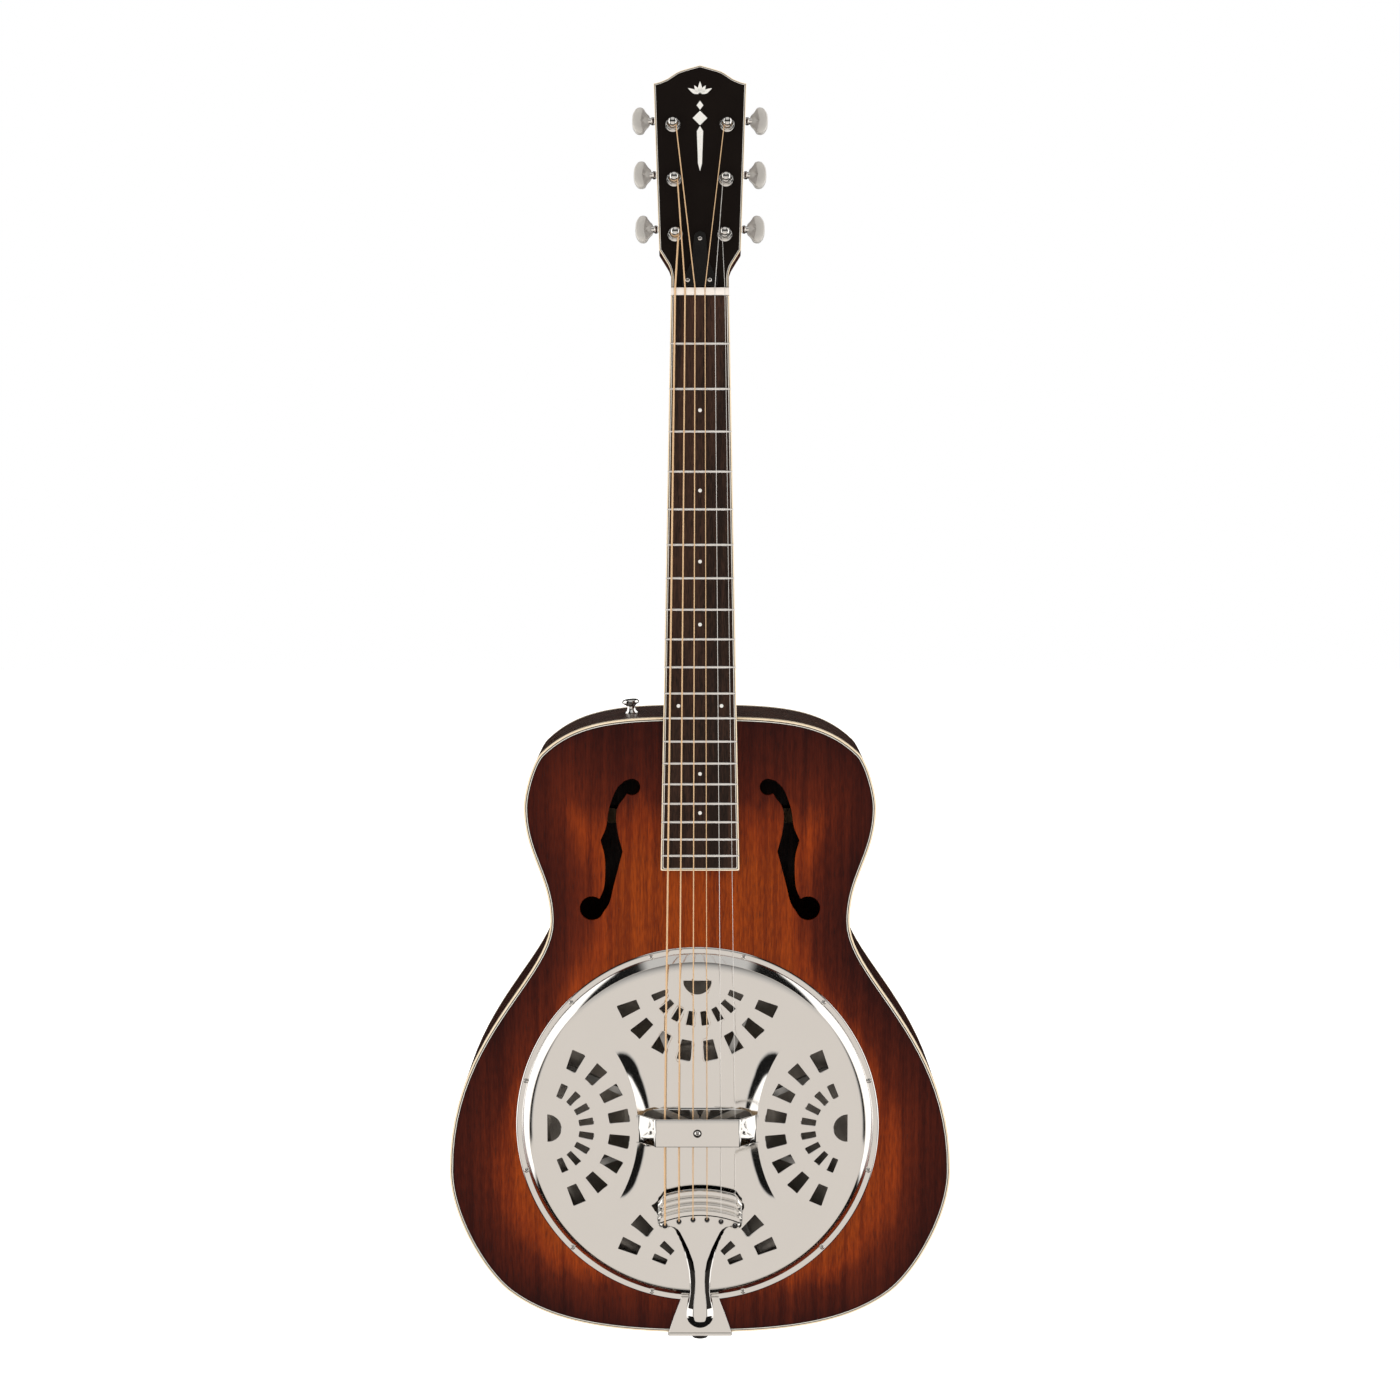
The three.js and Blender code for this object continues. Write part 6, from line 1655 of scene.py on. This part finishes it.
def string_point(k, distance):
    """World point of a string's middle over the neck."""
    lift = LIFT_NUT + (LIFT_BRIDGE - LIFT_NUT) * distance / SCALE
    local = Vector((string_x(k, distance), -lift - STRING_WIDTHS[k] / 2, -distance))
    return NECK @ (local * MM)


def string_route(k):
    """World points in metres from the windings on the post to the ball end."""
    side, row = STRING_POSTS[k]
    place = post_place(side, row)
    sign = -1 if side == "bass" else 1
    radius = STRING_WIDTHS[k] / 2
    front = box_in(f"tuner_post_{side}_{row}", place)[0][1]
    winds = 2.2 if k < 3 else 3.2
    steps = int(winds * 20)
    wrap = []
    reach = 1.95 + radius
    for j in range(steps + 1):
        share = j / steps
        turn = math.radians(360 * winds * (1 - share))
        rise = front + 3.4 + radius + (2.5 - 1.4 * radius) * share
        wrap.append(place @ (Vector((-sign * reach * math.cos(turn), rise, reach * math.sin(turn))) * MM))
    nut_high = NUT_HIGH[2] - NUT_LOW[2]
    path = wrap + [string_point(k, -nut_high), string_point(k, 0)]
    path += [string_point(k, d) for d in np.linspace(20, SCALE, 33)]
    x = bridge_x(k)
    bar_front = TAIL_FRONT - radius - 0.25

    def on_tail(drop, y):
        return SHOULDER @ (Vector((x, y, -drop)) * MM)

    path += [on_tail(tail_top(x) + 0.6, bar_front + 0.1), on_tail(tail_top(x) + 6, bar_front),
             on_tail(tail_low(x) - 3.5, bar_front + 0.3), on_tail(tail_low(x) - 0.6, bar_front + 1.4),
             on_tail(hole_drop(x) - 0.9, TAIL_PLATE_FRONT - 0.8),
             on_tail(hole_drop(x), TAIL_PLATE_FRONT + 0.6)]
    return path


def make_string(k):
    number = len(STRING_WIDTHS) - k
    wound = k < 4
    points, faces = sweep([p / MM for p in string_route(k)], STRING_WIDTHS[k] / 2, 12)
    make_piece(f"string_wire_{number}", points, faces, "wound" if wound else "wire", Matrix.Identity(4),
               slot="bronze" if wound else "plain_steel", stands_for=[f"string_{number}"], sharp=60)


# ------------------------------------------------------------------ stage
def make_world():
    """Even white light for matt surfaces, and a studio of cards for polished ones."""
    world = bpy.data.worlds.new("studio")
    bpy.context.scene.world = world
    world.use_nodes = True
    tree = world.node_tree
    tree.nodes.clear()
    out = tree.nodes.new("ShaderNodeOutputWorld")
    direction = put(tree, "ShaderNodeTexCoord").outputs["Generated"]
    parts = put(tree, "ShaderNodeSeparateXYZ", {0: direction}).outputs
    across = maths(tree, "ABSOLUTE", parts[0])
    forward = maths(tree, "MULTIPLY", parts[1], -1.0)
    azimuth = maths(tree, "ARCTAN2", across, forward)
    roll = maths(tree, "ARCTAN2", parts[2], across)
    low_edge = maths(tree, "SUBTRACT", parts[2], maths(tree, "MULTIPLY", forward, 0.42))
    high_edge = maths(tree, "ADD", parts[2], maths(tree, "MULTIPLY", forward, 1.7))
    below = remap(tree, parts[2], -0.34, -0.28, math.radians(14), 0.0)
    in_width = remap(tree, maths(tree, "SUBTRACT", azimuth, below), math.radians(32), math.radians(37), 1.0,
                     0.0)
    in_height = maths(tree, "MULTIPLY", remap(tree, parts[2], 0.14, 0.50, 1.0, 0.0),
                      remap(tree, parts[2], -0.86, -0.80))
    card = maths(tree, "MULTIPLY", in_width, in_height)
    sides = maths(tree, "MULTIPLY", remap(tree, azimuth, math.radians(32), math.radians(37)),
                  remap(tree, forward, -0.66, -0.56))
    for part in (remap(tree, roll, math.radians(54), math.radians(57), 1.0, 0.0),
                 remap(tree, low_edge, -0.54, -0.48), remap(tree, high_edge, 1.00, 1.07, 1.0, 0.0)):
        sides = maths(tree, "MULTIPLY", sides, part)
    over = maths(tree, "MULTIPLY", remap(tree, roll, math.radians(65), math.radians(69)),
                 remap(tree, parts[2], 0.66, 0.74))
    over = maths(tree, "MULTIPLY", over, remap(tree, forward, -0.5, -0.4))
    rest = maths(tree, "MAXIMUM", maths(tree, "MULTIPLY", sides, 1.3), maths(tree, "MULTIPLY", over, 0.55))
    rest = maths(tree, "MAXIMUM", rest, 0.006)
    mirror = blend(tree, card, (1, 0.98, 0.95, 1), (0.70, 0.652, 0.603, 1))
    strength_mirror = maths(tree, "ADD", card, maths(tree, "MULTIPLY", maths(tree, "SUBTRACT", 1.0, card),
                                                     rest))
    glossy = put(tree, "ShaderNodeBackground", {"Color": mirror, "Strength": strength_mirror})
    lift = remap(tree, parts[2], -1.0, 1.0, 0.80, 1.12)
    soft = put(tree, "ShaderNodeBackground", {"Color": (1.0, 0.985, 0.965, 1), "Strength": lift})
    white = put(tree, "ShaderNodeBackground", {"Color": (1, 1, 1, 1), "Strength": 1.0})
    path = put(tree, "ShaderNodeLightPath").outputs
    polished = put(tree, "ShaderNodeMixShader", {0: path["Is Glossy Ray"], 1: soft.outputs[0],
                                                 2: glossy.outputs[0]})
    seen = put(tree, "ShaderNodeMixShader", {0: path["Is Camera Ray"], 1: polished.outputs[0],
                                             2: white.outputs[0]})
    tree.links.new(seen.outputs[0], out.inputs["Surface"])


def make_floor():
    """A pale floor well below the hanging guitar."""
    size, drop = 9.0, 0.25
    points = [(-size, -size, 0), (size, -size, 0), (size, size, 0), (-size, size, 0)]
    mesh = bpy.data.meshes.new("studio_floor")
    mesh.from_pydata(points, [], [(0, 1, 2, 3)])
    floor = bpy.data.objects.new("studio_floor", mesh)
    floor.location = (0, 0, -drop)
    bpy.context.scene.collection.objects.link(floor)
    material, tree, shader = start_material("pale_floor", roughness=0.8, specular=0.1)
    drift = use(tree, "Aged colour", Clean=(0.93, 0.93, 0.92, 1), Aged=(0.88, 0.88, 0.87, 1), Amount=0.3,
                Scale=4.0)
    connect(tree, shader, drift["Colour"])
    shader.inputs["Emission Color"].default_value = (1, 1, 1, 1)
    shader.inputs["Emission Strength"].default_value = 0.45
    mesh.materials.append(material)
    floor.visible_glossy = False
    floor.visible_shadow = False


def make_lights():
    """Two large soft lights, left and right of the camera."""
    middle = Vector((0, 0, 0.45))
    for name, place, size, power in (("key_light", (-1.6, -2.0, 1.7), 1.4, 9.0),
                                     ("fill_light", (1.8, -2.0, 1.2), 1.6, 5.0)):
        data = bpy.data.lights.new(name, "AREA")
        data.shape = "RECTANGLE"
        data.size, data.size_y = size, size * 1.3
        data.energy = power
        data.specular_factor = 0.0
        light = bpy.data.objects.new(name, data)
        light.location = place
        light.rotation_euler = (middle - Vector(place)).to_track_quat("-Z", "Y").to_euler()
        light.visible_glossy = False
        bpy.context.scene.collection.objects.link(light)


def make_camera():
    """The camera stands a little above the body and looks slightly down, square to the face."""
    along, away, tilt = -149.7, -2162.8, 6.325
    camera_data = bpy.data.cameras.new("studio_camera")
    camera_data.sensor_width = 36
    camera_data.lens = 72.32
    camera_data.shift_y = 0.0756
    camera_data.clip_end = 60
    camera = bpy.data.objects.new("studio_camera", camera_data)
    camera.location = NECK @ (Vector((0, away, along)) * MM)
    look = NECK.to_3x3() @ Vector((0, math.cos(math.radians(tilt)), -math.sin(math.radians(tilt))))
    camera.rotation_euler = look.to_track_quat("-Z", "Y").to_euler()
    bpy.context.scene.collection.objects.link(camera)
    bpy.context.scene.camera = camera
    bpy.context.scene.view_settings.view_transform = "Standard"


# ------------------------------------------------------------------ operators
class Step:
    bl_options = {"REGISTER", "UNDO"}

    def execute(self, context):
        self.build()
        return {"FINISHED"}


class RESONATOR_OT_finishes(Step, bpy.types.Operator):
    """Makes the shared effects and every finish"""
    bl_idname = "resonator.finishes"
    bl_label = "Finishes"

    def build(self):
        make_grain_effect()
        make_handling_effect()
        make_dust_effect()
        make_mottle_effect()
        make_materials()


class RESONATOR_OT_body(Step, bpy.types.Operator):
    """Builds the top, its edging, the sides and the back"""
    bl_idname = "resonator.body"
    bl_label = "Body"

    def build(self):
        make_top()
        make_edging()
        make_sides_and_back()
        finish_inside()


class RESONATOR_OT_cone(Step, bpy.types.Operator):
    """Builds the spun cone and the spider's screw"""
    bl_idname = "resonator.cone"
    bl_label = "Cone and screw"

    def build(self):
        make_cone()
        make_tension_screw()


class RESONATOR_OT_cover(Step, bpy.types.Operator):
    """Builds the domed cover plate and its screws"""
    bl_idname = "resonator.cover"
    bl_label = "Cover plate"

    def build(self):
        make_cover_plate()
        make_plate_screws()


class RESONATOR_OT_palm_rest(Step, bpy.types.Operator):
    """Builds the palm rest over the strings"""
    bl_idname = "resonator.palm_rest"
    bl_label = "Palm rest"

    def build(self):
        make_palm_rest()


class RESONATOR_OT_tailpiece(Step, bpy.types.Operator):
    """Builds the tailpiece and its bracket"""
    bl_idname = "resonator.tailpiece"
    bl_label = "Tailpiece"

    def build(self):
        make_tailpiece()
        make_bracket()


class RESONATOR_OT_strap_hardware(Step, bpy.types.Operator):
    """Builds the end pin and the strap button"""
    bl_idname = "resonator.strap_hardware"
    bl_label = "Strap hardware"

    def build(self):
        make_strap_hardware()


class RESONATOR_OT_neck(Step, bpy.types.Operator):
    """Builds the neck, the headstock and what is on it"""
    bl_idname = "resonator.neck"
    bl_label = "Neck and headstock"

    def build(self):
        make_neck()
        make_headstock_face()
        make_head_ornaments()
        make_truss_cover()


class RESONATOR_OT_fretboard(Step, bpy.types.Operator):
    """Builds the bound fretboard, its frets, dots and nut"""
    bl_idname = "resonator.fretboard"
    bl_label = "Fretboard"

    def build(self):
        make_fretboard()
        make_frets()
        make_position_dots()
        make_nut()


class RESONATOR_OT_tuners(Step, bpy.types.Operator):
    """Builds the six tuners"""
    bl_idname = "resonator.tuners"
    bl_label = "Tuners"

    def build(self):
        for side, row in TUNERS:
            make_tuner_housing(side, row)
            make_tuner_post(side, row)
            make_tuner_button(side, row)


class RESONATOR_OT_strings(Step, bpy.types.Operator):
    """Builds the six strings"""
    bl_idname = "resonator.strings"
    bl_label = "Strings"

    def build(self):
        for k in range(len(STRING_WIDTHS)):
            make_string(k)


class RESONATOR_OT_stage(Step, bpy.types.Operator):
    """Sets the floor, the light and the camera"""
    bl_idname = "resonator.stage"
    bl_label = "Stage"

    def build(self):
        make_world()
        make_floor()
        make_lights()
        make_camera()


STEPS = (
    RESONATOR_OT_finishes, RESONATOR_OT_stage, RESONATOR_OT_body, RESONATOR_OT_cone, RESONATOR_OT_cover,
    RESONATOR_OT_palm_rest, RESONATOR_OT_tailpiece, RESONATOR_OT_strap_hardware, RESONATOR_OT_neck,
    RESONATOR_OT_fretboard, RESONATOR_OT_tuners, RESONATOR_OT_strings,
)


class RESONATOR_PT_panel(bpy.types.Panel):
    bl_idname = "RESONATOR_PT_panel"
    bl_label = "Resonator Guitar"
    bl_space_type = "VIEW_3D"
    bl_region_type = "UI"
    bl_category = "Resonator"

    def draw(self, context):
        for group in (context.scene.resonator_sizes, context.scene.resonator_colours):
            column = self.layout.column()
            for name in group.__annotations__:
                column.prop(group, name)
        for step in STEPS:
            self.layout.operator(step.bl_idname)


CLASSES = (ResonatorSizes, ResonatorColours, *STEPS, RESONATOR_PT_panel)


def register():
    for item in CLASSES:
        bpy.utils.register_class(item)
    bpy.types.Scene.resonator_sizes = PointerProperty(type=ResonatorSizes)
    bpy.types.Scene.resonator_colours = PointerProperty(type=ResonatorColours)


def unregister():
    del bpy.types.Scene.resonator_colours
    del bpy.types.Scene.resonator_sizes
    for item in reversed(CLASSES):
        bpy.utils.unregister_class(item)


def main():
    register()
    for step in STEPS:
        group, name = step.bl_idname.split(".")
        getattr(getattr(bpy.ops, group), name)()


if __name__ == "__main__":
    main()
